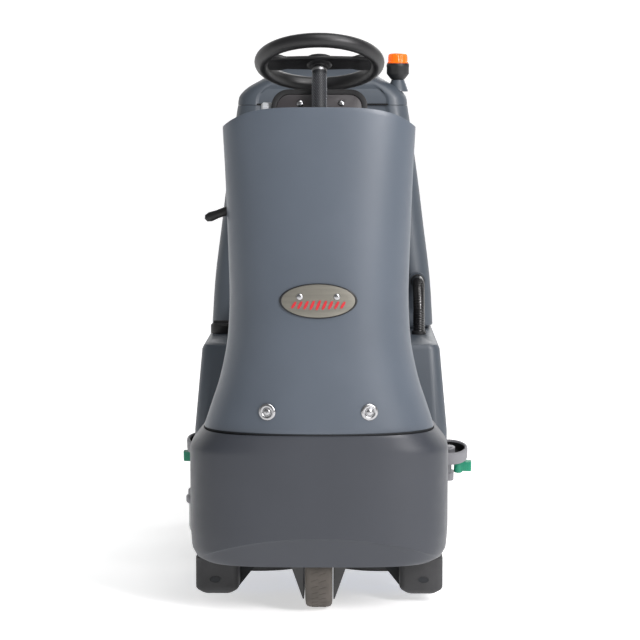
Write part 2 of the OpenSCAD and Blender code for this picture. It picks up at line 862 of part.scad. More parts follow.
function lid_half_at(z) = along(z, [
    [tank_top_z, 221], [1165, 217], [1180, 205], [1192, 190], [1215, 150], [lid_top_z, 104]]);
function lid_front_at(z) = along(z, [
    [tank_top_z, 262], [1180, 268], [1215, 284], [lid_top_z, 320]]);
function lid_back_at(z) = along(z, [
    [tank_top_z, 500], [1180, 494], [1215, 476], [lid_top_z, 440]]);
lid_low = tank_top_z + 5;
lid_roof = lid_top_z - 14;
beacon_at = [196, 320];
beacon_z = 1208;
hinge_y = 512;
latch_pin = [-24, 0, 1164];
module tank_lid() {
    rows = [lid_low, 1165, 1180, 1192, 1215, lid_roof, lid_top_z];
    color("#57616b")
        difference() {
            union() {
                loft(concat(
                    [for (i = [len(rows) - 2:-1:0]) let (z = rows[i])
                        ring(lid_half_at(z) - tank_wall, lid_front_at(z) + tank_wall,
                            lid_back_at(z) - tank_wall, 38, z)],
                    [for (z = rows) ring(lid_half_at(z), lid_front_at(z), lid_back_at(z), 44, z)]));
                translate([beacon_at[0], beacon_at[1], 1178])
                    cylinder(h = beacon_z - 1178, r1 = 27, r2 = 17);
                both_sides() {
                    rod(9, 50, [90, hinge_y, lid_low + 2], "x");
                    box([90, 488, lid_low + 1], [140, hinge_y, lid_low + 9]);
                    box([19, 252, 1158], [26, 275, 1170]);
                    rod(3, 25, [0, 258, 1164], "x");
                }
            }
            rod(5 + run_gap, 400, [-200, hinge_y, lid_low + 2], "x");
        }
}

module lid_seal() {
    color("#101010")
        difference() {
            loft([ring(219, 264, 498, 44, tank_top_z + skin), ring(219, 264, 498, 44, lid_low - skin)]);
            loft([ring(206, 277, 485, 34, tank_top_z - 1), ring(206, 277, 485, 34, lid_low + 1)]);
        }
}

cage_at = [-60, 382];
cage_low = 1128;
ball_r = 25;
seat_hole_r = 10;
module float_cage() {
    color("#d8d8d2")
        translate([cage_at[0], cage_at[1], cage_low])
            difference() {
                rod(38, lid_roof - skin - cage_low, [0, 0, 0]);
                rod(34, 94, [0, 0, 4]);
                for (a = [0:60:150])
                    rotate([0, 0, a])
                        box([-60, -9, 14], [60, 9, 74]);
                rod(seat_hole_r, 20, [0, 0, -5]);
            }
}

module float_ball() {
    color("#e8a020")
        translate([cage_at[0], cage_at[1], cage_low + 4 + sqrt(ball_r * ball_r - seat_hole_r * seat_hole_r) + skin])
            sphere(ball_r);
}

module vacuum_motor() {
    color("#3c3f42")
        union() {
            rod(66, 70, [190, 400, body_floor + tank_wall + skin]);
            rod(48, 60, [190, 400, body_floor + tank_wall + 60]);
            rod(20, 60, [190, 400, body_floor + tank_wall + 110]);
        }
}

module vacuum_hose() {
    bend_r = 58;
    bend_low = vac_top_z - bend_r;
    color("#0e0e0f")
        union() {
            hose(concat(
                [for (z = [480, 520, 560, 600, bend_low]) [vac_x, vac_y, z]],
                [for (a = [15:15:90])
                    [vac_x, vac_y + bend_r * (1 - cos(a)), bend_low + bend_r * sin(a)]],
                [[vac_x, 185, vac_top_z], [vac_x, 232, vac_top_z]]), vac_hose_r);
            rod(18, 12, [vac_x, 204 - skin, vac_top_z], "y");
            rod(18, 9, [vac_x, vac_y, shoulder_z + skin]);
        }
}

// Where a point drawn on the lowered, straight squeegee ends up when swung and raised
function swing_point(p) = let (a = -swing_angle, y = p[1] - swing_y)
    [p[0] * cos(a) - y * sin(a), swing_y + p[0] * sin(a) + y * cos(a), p[2]];
function raise_point(p) = let (y = p[1] - pivot_y, z = p[2] - pivot_z)
    [p[0], pivot_y + y * cos(lift_angle) - z * sin(lift_angle),
     pivot_z + y * sin(lift_angle) + z * cos(lift_angle)];
spigot_y = swing_y + 58;
spigot_top = 128;
module suction_hose() {
    tip = raise_point(swing_point([0, spigot_y, spigot_top + skin]));
    up = [0, -sin(lift_angle), cos(lift_angle)];
    color("#0e0e0f")
        union() {
            hose([tip, tip + 20 * up, tip + 40 * up + [-4, 6, 4], [-10, 524, 244], [-18, 550, 266],
                [-30, 572, 300], [-50, 590, 350],
                [-84, 600, 410], [-118, 604, 470], [-138, 602, 540], [-148, 596, 590], [-150, 584, 628],
                [-150, 568, 648], [-150, 552, suction_in[1]], [-150, 520, suction_in[1]]], 19.6);
        }
}

module lid_latch() {
    color("#2b2d30")
        difference() {
            union() {
                box([-18, 251, 1100], [18, 255, 1162]);
                rod(6, 36, [-18, 258, 1164], "x");
                box([-18, 255, 1102], [18, 257.5, 1108]);
            }
            rod(3 + run_gap, 60, [-30, 258, 1164], "x");
        }
}

module backrest_cushion() {
    color("#1b1c1e")
        loft([for (row = [[700, 30, 22], [712, 12, 8], [740, 2, 0], [880, 0, 0], [1010, 2, 0], [1040, 12, 8], [1052, 30, 22]])
                let (z = row[0], back = tank_front_at(z) - skin)
                ring(seat_half - row[1], back - 66 + row[2], back - row[2] / 2, 20, z)]);
}

seat_back = 184;
seat_hinge = [body_front - 8, shoulder_z + 12];
module seat_deck() {
    color("#3c4248")
        difference() {
            union() {
                translate([0, (body_front + 12 + seat_back + 20) / 2, shoulder_z + skin])
                    slab(2 * deck_half_w, seat_back + 8 - body_front, 16, 20);
                rod(9, 240, [-120, seat_hinge[0], seat_hinge[1]], "x");
                box([-120, seat_hinge[0], seat_hinge[1] - 4], [120, body_front + 20, seat_hinge[1] + 4]);
            }
            rod(5 + run_gap, 400, [-200, seat_hinge[0], seat_hinge[1]], "x");
        }
}

module seat_cushion() {
    low = shoulder_z + 16 + 2 * skin;
    color("#1b1c1e")
        loft([for (row = [[0, 22], [8, 6], [26, 0], [58, 0], [76, 8], [84, 26]])
            ring(seat_half - row[1], body_front + 10 + row[1], seat_back - row[1], 44, low + row[0])]);
}

// ---------- rear axle ----------
module rear_axle() {
    color("silver")
        union() {
            rod(axle_r - 0.02, 2 * (rear_inner_x + rear_w + 8), [-rear_inner_x - rear_w - 8, rear_y, rear_r], "x");
            both_sides()
                rod(20, 6, [rear_inner_x + rear_w + 2, rear_y, rear_r], "x");
        }
}

module rear_wheel(side) {
    color("#56514b")
        mirror([side < 0 ? 1 : 0, 0, 0])
            translate([rear_inner_x, rear_y, rear_r])
                rotate([0, 90, 0])
                    difference() {
                        rotate_extrude($fn = 72)
                            polygon([[axle_r + run_gap, 2], [28, 0], [34, 6], [70, 10], [78, 1], [rear_r - 10, 0],
                                [rear_r, 10], [rear_r, rear_w - 10], [rear_r - 10, rear_w], [78, rear_w - 1],
                                [70, rear_w - 10], [34, rear_w - 6], [28, rear_w], [axle_r + run_gap, rear_w - 2]]);
                        for (a = [0:72:300])
                            rotate([0, 0, a])
                                translate([52, 0, -1])
                                    cylinder(h = rear_w + 2, r = 9);
                    }
}

// ---------- scrub deck ----------
actuator_y = -328;
actuator_rod_r = 6;
actuator_low = deck_top + 2;
module deck_housing() {
    skirt_r = deck_half - brush_x;
    color("#3a3a3c")
        difference() {
            union() {
                both_sides()
                    rod(skirt_r, deck_top - deck_clear, [brush_x, deck_y, deck_clear]);
                box([-brush_x, actuator_y - 20, deck_plate], [brush_x, deck_y + 80, deck_top]);
                rod(actuator_rod_r, rail_high - deck_top - 3, [0, actuator_y, deck_top - 1]);
            }
            both_sides() {
                rod(brush_r + 5, deck_plate - deck_clear + 1, [brush_x, deck_y, deck_clear - 1]);
                rod(16, 60, [brush_x, deck_y, deck_plate - 10]);
            }
        }
}

motor_top = platform_z - 16;
module brush_motors() {
    color("#606468")
        both_sides()
            union() {
                rod(40, motor_top - deck_top, [brush_x, deck_y, deck_top]);
                rod(30, 6, [brush_x, deck_y, motor_top]);
                rod(10, 70, [brush_x, deck_y, deck_top - 60]);
            }
}

module brush(x) {
    back_z = deck_clear + 32;
    color("#2f6db0")
        difference() {
            union() {
                rod(brush_r, 14, [x, deck_y, back_z]);
                rod(26, 20, [x, deck_y, back_z + 10]);
                difference() {
                    rod(brush_r - 3, 36, [x, deck_y, deck_clear - 1.5]);
                    rod(60, 34, [x, deck_y, deck_clear - 2.5]);
                }
            }
            rod(10 + run_gap, 100, [x, deck_y, deck_clear + 10]);
        }
}

module deck_actuator() {
    color("#77797c")
        difference() {
            union() {
                rod(17, rail_high - 8 - actuator_low + 1, [0, actuator_y, actuator_low]);
                box([-26, actuator_y - 20, rail_high - 8], [26, actuator_y + 20, rail_high - skin]);
            }
            rod(actuator_rod_r + run_gap, rail_high - 2.5 - actuator_low + 1, [0, actuator_y, actuator_low - 1]);
        }
}

// ---------- squeegee ----------
// Everything on the squeegee is drawn lowered and straight, then swung and raised
module raised() {
    translate([0, pivot_y, pivot_z])
        rotate([lift_angle, 0, 0])
            translate([0, -pivot_y, -pivot_z])
                children();
}

module swung() {
    raised()
        translate([0, swing_y, 0])
            rotate([0, 0, -swing_angle])
                translate([0, -swing_y, 0])
                    children();
}

arm_low = pivot_z - 38;
module lift_arm() {
    color("#1d1e20")
        raised()
            difference() {
                union() {
                    rod(18, 76, [-38, pivot_y, pivot_z], "x");
                    both_sides()
                        box([20, pivot_y, arm_low], [34, swing_y + 24, arm_low + 18]);
                    both_sides()
                        box([20, pivot_y - 14, arm_low], [34, pivot_y + 14, pivot_z]);
                    box([-34, swing_y - 24, arm_low], [34, swing_y + 24, arm_low + 18]);
                    rod(pin_r, 52, [0, swing_y, arm_low - 50]);
                }
                rod(pin_r + run_gap, 200, [-100, pivot_y, pivot_z], "x");
            }
}

arc_r = 803;
arc_y = 620 - arc_r;
module arc_band(r0, r1, low, high, half) {
    sweep = asin(half / arc_r);
    intersection() {
        translate([0, arc_y, low])
            difference() {
                cylinder(h = high - low, r = r1, $fn = 180);
                translate([0, 0, -1])
                    cylinder(h = high - low + 2, r = r0, $fn = 180);
            }
        linear_extrude(400)
            polygon([[0, arc_y], [-1.3 * arc_r * sin(sweep), arc_y + 1.3 * arc_r * cos(sweep)],
                [1.3 * arc_r * sin(sweep), arc_y + 1.3 * arc_r * cos(sweep)]]);
    }
}

roller_x = 336;
latch_x = roller_x + 27;
roller_y = 548;
module squeegee_body() {
    back = arc_y + arc_r - 4;
    color("#8f9498")
        swung()
            difference() {
                union() {
                    arc_band(arc_r - 34, arc_r + 6, 58, 84, squeegee_half);
                    box([-70, swing_y - 24, 96], [70, back, 106]);
                    box([-70, back - 26, 83], [70, back, 99]);
                    rod(24, spigot_top - 96, [0, spigot_y, 96]);
                    both_sides() {
                        rod(9, roller_z + 18 - 62, [roller_x, roller_y, 62]);
                        translate([roller_x - 30, roller_y + 4, 62])
                            slab(90, 34, 22, 12);
                    }
                }
                rod(pin_r + run_gap, 60, [0, swing_y, 80]);
                rod(19, 80, [0, spigot_y, 90]);
            }
}

module squeegee_blades() {
    color("#5c4032")
        swung()
            union() {
                arc_band(arc_r - 32, arc_r - 28, 3, 57.7, squeegee_half - 6);
                arc_band(arc_r - 2, arc_r + 2, 1.5, 57.7, squeegee_half - 2);
            }
}

module bumper_roller(side) {
    color("#8c9093")
        swung()
            translate([side * roller_x, roller_y, roller_z - 18])
                difference() {
                    cylinder(h = 36, r = roller_d / 2);
                    difference() {
                        translate([0, 0, 8])
                            cylinder(h = 40, r = roller_d / 2 - 10);
                        cylinder(h = 34, r = 18);
                    }
                    translate([0, 0, -1])
                        cylinder(h = 60, r = 9 + run_gap);
                }
}

module squeegee_latch(side) {
    color("#12a06a")
        swung()
            translate([side * latch_x, roller_y + 4, 84 + skin])
                union() {
                    rod(12, 34, [0, 0, 0]);
                    translate([side * 20, 0, 5])
                        slab(32, 18, 27, 5);
                }
}

// ---------- accessories ----------
module beacon() {
    translate([beacon_at[0], beacon_at[1], beacon_z + skin]) {
        color("#111112")
            union() {
                cylinder(h = 15, r1 = 15, r2 = 28);
                rod(29, 28, [0, 0, 14.9]);
            }
        color("#e8730c")
            translate([0, 0, 42.8])
                rotate_extrude()
                    polygon([[0, 0], [27, 0], [27, 3], [25, 4], [25, 20], [22, 25], [0, 26]]);
    }
}

module solution_filter() {
    color("#d5d7d6")
        translate([-306, -10, 0])
            union() {
                rod(33, filter_top - 150, [0, 0, 150]);
                rotate_extrude()
                    polygon([[0, 70], [12, 71], [22, 78], [26, 90], [26, 151], [0, 151]]);
            }
}

chassis_frame();
lower_cowl();
leg_shield();
badge_plate();
trim_screws();
foot_platform();
lower_body();
batteries();
solution_tank();
filler_cap();
recovery_tank();
tank_lid();
lid_seal();
lid_latch();
float_cage();
float_ball();
vacuum_motor();
vacuum_hose();
suction_hose();
backrest_cushion();
seat_deck();
seat_cushion();
steering_tower();
tower_cover();
column_sleeve();
steering_column();
steering_wheel();
steer_shaft();
control_pod();
pod_plate();
display_panel();
key_switch();
stop_button();
pod_button(button_x[2]);  // button_left
pod_button(button_x[1]);  // button_middle
pod_button(button_x[0]);  // button_right
speed_dial();
squeegee_lever();
wheel_fork();
front_tyre();
front_hub();
rear_axle();
rear_wheel(1);  // rear_wheel_left
rear_wheel(-1);  // rear_wheel_right
drive_pedal();
brake_pedal();
deck_housing();
brush_motors();
brush(brush_x);  // brush_left
brush(-brush_x);  // brush_right
deck_actuator();
lift_arm();
squeegee_body();
squeegee_blades();
bumper_roller(1);  // roller_left
bumper_roller(-1);  // roller_right
squeegee_latch(1);  // latch_left
squeegee_latch(-1);  // latch_right
beacon();
solution_filter();
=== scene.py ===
# %% [markdown]
# # A compact ride-on floor scrubber dryer
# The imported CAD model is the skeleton: every casing, wheel and hinge is already in its place.
# This lesson dresses it. Large mouldings are drawn again as smooth skins from a few driving
# sizes, repeated things such as bristles and treads come from Geometry Nodes, the cushions are
# inflated by the cloth solver, and each finish is a small procedural material.

# %% Load the frame
import contextlib
import json
import math
import random
import bmesh
import bpy
from mathutils import Matrix, Vector


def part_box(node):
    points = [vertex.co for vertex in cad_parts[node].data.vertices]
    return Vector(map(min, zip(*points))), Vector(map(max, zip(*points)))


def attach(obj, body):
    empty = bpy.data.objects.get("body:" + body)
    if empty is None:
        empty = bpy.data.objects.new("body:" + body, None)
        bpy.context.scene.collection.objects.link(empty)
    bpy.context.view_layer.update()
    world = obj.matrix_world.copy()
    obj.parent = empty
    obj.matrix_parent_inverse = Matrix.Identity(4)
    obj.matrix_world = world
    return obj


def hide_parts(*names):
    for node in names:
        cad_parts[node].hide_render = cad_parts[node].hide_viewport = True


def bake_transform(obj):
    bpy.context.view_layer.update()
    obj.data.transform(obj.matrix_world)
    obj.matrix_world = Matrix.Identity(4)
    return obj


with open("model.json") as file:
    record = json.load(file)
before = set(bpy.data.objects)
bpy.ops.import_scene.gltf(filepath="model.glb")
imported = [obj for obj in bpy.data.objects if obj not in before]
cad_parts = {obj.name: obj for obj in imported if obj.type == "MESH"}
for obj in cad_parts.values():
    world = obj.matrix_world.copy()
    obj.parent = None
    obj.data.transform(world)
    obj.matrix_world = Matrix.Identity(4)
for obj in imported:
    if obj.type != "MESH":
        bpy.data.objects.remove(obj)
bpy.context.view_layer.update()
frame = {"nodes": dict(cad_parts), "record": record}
scene = bpy.context.scene
MM = 0.001
print("nodes in the frame:", len(frame["nodes"]))

# %% [markdown]
# The camera comes first, because everything is judged through it. It stands low and far away
# with a long lens, which keeps the upright sides of the machine almost parallel.

# %% Camera
CAMERA_AT = Vector((0.057, -5.515, 1.13))
PITCH = math.atan2(210, 2222)
YAW = math.atan2(0.0548, 5.0)
camera_data = bpy.data.cameras.new("studio_camera")
camera_data.lens = 125
camera_data.sensor_width = 36
camera_data.clip_end = 60
camera = bpy.data.objects.new("studio_camera", camera_data)
camera.location = CAMERA_AT
camera.rotation_euler = (math.radians(90) - PITCH, 0, YAW)
scene.collection.objects.link(camera)
scene.camera = camera
scene.view_settings.view_transform = "Standard"
print("camera looks down by", round(math.degrees(PITCH), 2), "degrees")

# %% [markdown]
# A studio sweep is a floor that curves up into a wall, so no horizon line shows. One warm key
# panel on the right draws the long upright highlight on the shield. A top, a weak fill and a
# back panel keep the other sides readable.

# %% Studio sweep and lights
def studio_sweep(width=140, front=-70, back=9, height=9, bend=3):
    profile = [(front, 0)]
    profile += [(back - bend + bend * math.sin(math.radians(a)), bend - bend * math.cos(math.radians(a)))
                for a in range(0, 91, 6)]
    profile.append((back, height))
    verts = [(side * width / 2, y, z) for y, z in profile for side in (-1, 1)]
    faces = [(2 * i, 2 * i + 1, 2 * i + 3, 2 * i + 2) for i in range(len(profile) - 1)]
    mesh = bpy.data.meshes.new("studio_sweep")
    mesh.from_pydata(verts, [], faces)
    mesh.shade_smooth()
    sweep = bpy.data.objects.new("studio_sweep", mesh)
    scene.collection.objects.link(sweep)
    return sweep


def panel_light(name, at, look_at, size, power, colour=(1, 1, 1)):
    data = bpy.data.lights.new(name, "AREA")
    data.shape = "RECTANGLE"
    data.size, data.size_y = size
    data.energy = power
    data.color = colour
    light = bpy.data.objects.new(name, data)
    light.location = at
    light.rotation_euler = (Vector(look_at) - Vector(at)).to_track_quat("-Z", "Y").to_euler()
    scene.collection.objects.link(light)
    return light


sweep = studio_sweep()
world = bpy.data.worlds.new("studio_air")
scene.world = world
world.use_nodes = True
world.node_tree.nodes["Background"].inputs[0].default_value = (1, 1, 1, 1)
world.node_tree.nodes["Background"].inputs[1].default_value = 0.22
panel_light("key_panel", (2.9, -3.6, 2.7), (0, -0.4, 1.1), (1.2, 2.0), 200, (1, 0.98, 0.99))
panel_light("top_panel", (0.9, -1.4, 3.4), (0, -0.2, 0.9), (2.0, 2.0), 55)
panel_light("fill_panel", (-4.2, -3.6, 1.8), (0, 0, 0.6), (1.6, 2.4), 2, (0.85, 0.95, 1))
panel_light("back_panel", (1.5, 4.0, 3.0), (0, 0, 0.8), (2.5, 2.5), 45)

# %% [markdown]
# Every finish below follows one recipe: a slow noise shifts the colour a little, a middle noise
# shifts the roughness, and a fine noise becomes bump. Only the amounts change from moulded
# plastic to rubber or steel, and a few finishes add one thing of their own.

# %% The common recipe for a finish
FINISHES = {}


def finish(name, colour, rough, vary=0.12, grain=900, depth=0.02, blotch=6, metallic=0.0,
           coat=0.0, rough_vary=0.08, sheen=0.0, stretch=(1, 1, 1)):
    mat = bpy.data.materials.new(name)
    mat.use_nodes = True
    nodes, links = mat.node_tree.nodes, mat.node_tree.links
    shader = nodes["Principled BSDF"]
    shader.inputs["Metallic"].default_value = metallic
    shader.inputs["Coat Weight"].default_value = coat
    shader.inputs["Coat Roughness"].default_value = 0.12
    shader.inputs["Sheen Weight"].default_value = sheen
    place = nodes.new("ShaderNodeTexCoord")
    turn = nodes.new("ShaderNodeMapping")
    turn.inputs["Scale"].default_value = stretch
    links.new(place.outputs["Object"], turn.inputs["Vector"])

    def noise(scale, detail):
        node = nodes.new("ShaderNodeTexNoise")
        node.inputs["Scale"].default_value = scale
        node.inputs["Detail"].default_value = detail
        links.new(turn.outputs["Vector"], node.inputs["Vector"])
        return node

    ramp = nodes.new("ShaderNodeValToRGB")
    ramp.color_ramp.elements[0].position = 0.3
    ramp.color_ramp.elements[1].position = 0.7
    ramp.color_ramp.elements[0].color = [c * (1 - vary) for c in colour] + [1]
    ramp.color_ramp.elements[1].color = [min(1, c * (1 + vary)) for c in colour] + [1]
    links.new(noise(blotch, 4).outputs["Fac"], ramp.inputs["Fac"])
    links.new(ramp.outputs["Color"], shader.inputs["Base Color"])
    spread = nodes.new("ShaderNodeMapRange")
    spread.inputs["To Min"].default_value = max(0.02, rough - rough_vary)
    spread.inputs["To Max"].default_value = min(1, rough + rough_vary)
    links.new(noise(blotch * 7, 3).outputs["Fac"], spread.inputs["Value"])
    links.new(spread.outputs["Result"], shader.inputs["Roughness"])
    bump = nodes.new("ShaderNodeBump")
    bump.inputs["Strength"].default_value = 0.35
    bump.inputs["Distance"].default_value = depth * MM * 10
    links.new(noise(grain, 2).outputs["Fac"], bump.inputs["Height"])
    links.new(bump.outputs["Normal"], shader.inputs["Normal"])
    FINISHES[name] = mat
    return mat


# %% [markdown]
# The mouldings are rotomoulded polyethylene: a satin blue-grey with a very fine pebble. The
# cowl is darker and browner than the shield, and the rear body sits between them.

# %% Plastics, rubbers and metals
finish("shield_grey", (0.076, 0.092, 0.116), 0.42, vary=0.05, grain=1500, depth=0.025, coat=0.06)
finish("cowl_grey", (0.033, 0.037, 0.047), 0.44, vary=0.05, grain=1500, depth=0.025, coat=0.04)
finish("body_grey", (0.054, 0.066, 0.082), 0.45, vary=0.06, grain=1300, depth=0.03, coat=0.05)
finish("frame_black", (0.012, 0.012, 0.013), 0.42, grain=700, depth=0.02, coat=0.25)
finish("black_plastic", (0.008, 0.008, 0.009), 0.5, grain=1600, depth=0.02)
finish("rim_rubber", (0.007, 0.007, 0.008), 0.42, grain=2200, depth=0.02, vary=0.2)
finish("hose_black", (0.008, 0.008, 0.009), 0.24, grain=500, depth=0.01, coat=0.3)
finish("tyre_rubber", (0.085, 0.074, 0.064), 0.82, grain=600, depth=0.06, vary=0.25, blotch=20)
finish("deck_charcoal", (0.034, 0.034, 0.036), 0.62, grain=420, depth=0.08, vary=0.18, blotch=14)
finish("pod_brown", (0.048, 0.043, 0.046), 0.4, grain=1200, depth=0.02, coat=0.1)
finish("sleeve_mesh", (0.012, 0.013, 0.016), 0.5, grain=1500, depth=0.02)
# The knurl studs are coloured light grey metal: painted glints on the black sleeve.
finish("knurl_painted_glint", (0.62, 0.64, 0.68), 0.2, metallic=0.7, grain=900, depth=0.005)
finish("dial_grey", (0.56, 0.58, 0.60), 0.4, grain=1200, depth=0.015)
finish("squeegee_grey", (0.20, 0.20, 0.215), 0.45, grain=800, depth=0.03)
finish("blade_gum", (0.30, 0.17, 0.09), 0.6, grain=500, depth=0.03)
finish("latch_green", (0.003, 0.23, 0.13), 0.4, grain=1200, depth=0.015)
finish("stop_red", (0.55, 0.015, 0.012), 0.3, grain=900, depth=0.01, coat=0.3)
finish("float_orange", (0.85, 0.32, 0.04), 0.4, grain=900, depth=0.01)
finish("battery_case", (0.04, 0.042, 0.046), 0.5, grain=1000, depth=0.02)
finish("bristle_blue", (0.02, 0.12, 0.36), 0.5, grain=300, depth=0.02)
finish("motif_red", (0.52, 0.02, 0.03), 0.35, grain=900, depth=0.01, coat=0.2)
finish("bright_steel", (0.52, 0.52, 0.53), 0.32, metallic=1, grain=260, depth=0.01, stretch=(1, 1, 14))
finish("badge_metal", (0.22, 0.21, 0.18), 0.42, metallic=0.6, grain=380, depth=0.02, stretch=(1, 1, 16))
finish("chrome_trim", (0.45, 0.45, 0.46), 0.26, metallic=1, grain=500, depth=0.005, rough_vary=0.05)
# A painted shade colour: the seam strip, the guard webs and the dimple hollows wear it where shadow falls.
finish("seam_shadow", (0.012, 0.014, 0.017), 0.7, grain=500, depth=0.02)
print("finishes so far:", len(FINISHES))

# %% [markdown]
# A few finishes need something of their own: grained vinyl has a net of creases from a Voronoi
# edge distance, the beacon lens lets light through, the filter bowl is milky, the display is
# glassy, and the studio floor glows a little so that it stays white.

# %% Vinyl, lens, bowl and screen
def vinyl():
    mat = finish("seat_vinyl", (0.021, 0.021, 0.023), 0.5, vary=0.2, grain=1800, depth=0.02)
    nodes, links = mat.node_tree.nodes, mat.node_tree.links
    cells = nodes.new("ShaderNodeTexVoronoi")
    cells.feature = "DISTANCE_TO_EDGE"
    cells.inputs["Scale"].default_value = 420
    place = next(n for n in nodes if n.type == "TEX_COORD")
    links.new(place.outputs["Object"], cells.inputs["Vector"])
    crease = nodes.new("ShaderNodeBump")
    crease.inputs["Strength"].default_value = 0.5
    crease.inputs["Distance"].default_value = 0.6 * MM
    links.new(cells.outputs["Distance"], crease.inputs["Height"])
    fine = next(n for n in nodes if n.type == "BUMP" and n is not crease)
    links.new(fine.outputs["Normal"], crease.inputs["Normal"])
    links.new(crease.outputs["Normal"], nodes["Principled BSDF"].inputs["Normal"])


def clear(name, colour, rough, through, glow=0.0):
    mat = finish(name, colour, rough, vary=0.06, grain=400, depth=0.01)
    shader = mat.node_tree.nodes["Principled BSDF"]
    shader.inputs["Transmission Weight"].default_value = through
    shader.inputs["IOR"].default_value = 1.46
    shader.inputs["Emission Color"].default_value = (*colour, 1)
    shader.inputs["Emission Strength"].default_value = glow
    return mat


vinyl()
clear("lens_orange", (0.95, 0.17, 0.006), 0.16, 0.25, 0.22)
clear("milky_bowl", (0.42, 0.43, 0.43), 0.3, 0.12)
clear("screen", (0.02, 0.05, 0.045), 0.12, 0.0)
stage_white = finish("stage_white", (0.88, 0.88, 0.88), 0.8, vary=0.01, grain=50, depth=0.001)
stage_white.node_tree.nodes["Principled BSDF"].inputs["Emission Color"].default_value = (1, 1, 1, 1)
stage_white.node_tree.nodes["Principled BSDF"].inputs["Emission Strength"].default_value = 0.56
sweep.data.materials.append(FINISHES["stage_white"])
print("finishes:", sorted(FINISHES))

# %% [markdown]
# A piece is always settled the same way: it gets its finish, rides on a body, and says which CAD nodes it
# stands for. Modifiers are turned into plain mesh first.

# %% Helpers that settle a piece
BODY_OF = {node: body for body, nodes in frame["record"]["behaviour"]["bodies"].items() for node in nodes}
SLOT_OF = {part["node"]: part["material_slot"] for part in frame["record"]["subparts"]}


def made(name, verts, faces, material):
    mesh = bpy.data.meshes.new(name)
    mesh.from_pydata(verts, [], faces)
    mesh.materials.append(FINISHES[material])
    obj = bpy.data.objects.new(name, mesh)
    scene.collection.objects.link(obj)
    return obj


def plain(obj):
    """Applies every modifier and leaves one ordinary mesh."""
    depsgraph = bpy.context.evaluated_depsgraph_get()
    depsgraph.update()
    mesh = bpy.data.meshes.new_from_object(obj.evaluated_get(depsgraph), depsgraph=depsgraph)
    obj.modifiers.clear()
    obj.data = mesh
    return obj


@contextlib.contextmanager
def editing(obj):
    """Lends an object's mesh for editing, then puts it back."""
    work = bmesh.new()
    work.from_mesh(obj.data)
    yield work
    work.to_mesh(obj.data)
    work.free()


def outward(obj, merge=0.0):
    with editing(obj) as work:
        if merge:
            bmesh.ops.remove_doubles(work, verts=work.verts, dist=merge)
        bmesh.ops.recalc_face_normals(work, faces=work.faces)
    return obj


def smooth(obj, angle=35):
    obj.data.shade_smooth()
    obj.data.set_sharp_from_angle(angle=math.radians(angle))
    return obj


def settle(obj, stands_for=(), body=None):
    """Says where a finished piece belongs."""
    nodes = (stands_for,) if isinstance(stands_for, str) else tuple(stands_for)
    body = body or BODY_OF[nodes[0]]
    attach(obj, body)
    if nodes:
        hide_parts(*nodes)
    print(f"{obj.name}: {len(obj.data.polygons)} faces on {body}")
    return obj


def full_turn(count):
    """Angles in equal steps once round."""
    return [2 * math.pi * i / count for i in range(count)]


def quads(rows, n, joined_up):
    """Faces between rows of n points; the last point meets the first when joined up."""
    return [(k * n + i, k * n + (i + 1) % n, (k + 1) * n + (i + 1) % n, (k + 1) * n + i)
            for k in range(rows - 1) for i in range(n if joined_up else n - 1)]


def loft(name, rings, material, closed_ends=True):
    """Skin through rings with the same number of points."""
    n = len(rings[0])
    faces = quads(len(rings), n, True)
    if closed_ends:
        faces.append(tuple(range(n))[::-1])
        faces.append(tuple((len(rings) - 1) * n + i for i in range(n)))
    return outward(made(name, [tuple(p) for ring in rings for p in ring], faces, material))


def lathe(name, profile, material, at=(0, 0, 0), turn=Matrix.Identity(3), steps=64):
    """Turns (radius, height) points about an axis through a point."""
    rings = [[Vector(at) + turn @ Vector((r * math.cos(a), r * math.sin(a), h)) for a in full_turn(steps)]
             for r, h in profile]
    return loft(name, rings, material)


def turned(name, profile, material, at=(0, 0, 0), turn=Matrix.Identity(3), steps=64, angle=35):
    """A smooth lathed piece whose profile is in millimetres."""
    return smooth(lathe(name, [(r * MM, h * MM) for r, h in profile], material, at, turn, steps), angle)


def joined(name, pieces):
    """Makes one piece of several, each with its own finish."""
    for p in pieces:
        p.select_set(True)
    with bpy.context.temp_override(active_object=pieces[0], selected_editable_objects=pieces,
                                   selected_objects=pieces):
        bpy.ops.object.join()
    pieces[0].name = name
    return pieces[0]


def curve_value(t, table):
    """Smooth curve through (t, value) points."""
    if t <= table[0][0]:
        return table[0][1]
    for i in range(len(table) - 1):
        (t0, v0), (t1, v1) = table[i], table[i + 1]
        if t <= t1:
            before = table[max(i - 1, 0)]
            after = table[min(i + 2, len(table) - 1)]
            m0 = (v1 - before[1]) / (t1 - before[0]) * (t1 - t0)
            m1 = (after[1] - v0) / (after[0] - t0) * (t1 - t0)
            u = (t - t0) / (t1 - t0)
            return ((2 * u**3 - 3 * u**2 + 1) * v0 + (u**3 - 2 * u**2 + u) * m0
                    + (3 * u**2 - 2 * u**3) * v1 + (u**3 - u**2) * m1)
    return table[-1][1]


def bend(v, power):
    return math.copysign(abs(v) ** power, v)


# %% [markdown]
# Plain machined and moulded nodes keep their CAD shape but get soft edges. The CAD mesh is
# never touched: a copy has its loose triangles merged into flat faces, a small bevel rounds the
# sharp corners, and the copy then stands for the node.

# %% Softening a CAD node
def softened(node, width, material, segments=2):
    obj = bpy.data.objects.new(f"{node}_soft", frame["nodes"][node].data.copy())
    scene.collection.objects.link(obj)
    obj.data.materials.clear()
    obj.data.materials.append(FINISHES[material])
    with editing(obj) as work:
        bmesh.ops.remove_doubles(work, verts=work.verts, dist=0.02 * MM)
        bmesh.ops.dissolve_limit(work, angle_limit=math.radians(1), verts=work.verts, edges=work.edges)
    bevel = obj.modifiers.new("soft_edge", "BEVEL")
    bevel.width = width * MM
    bevel.segments = segments
    bevel.limit_method = "ANGLE"
    bevel.angle_limit = math.radians(32)
    return smooth(plain(obj), 38)


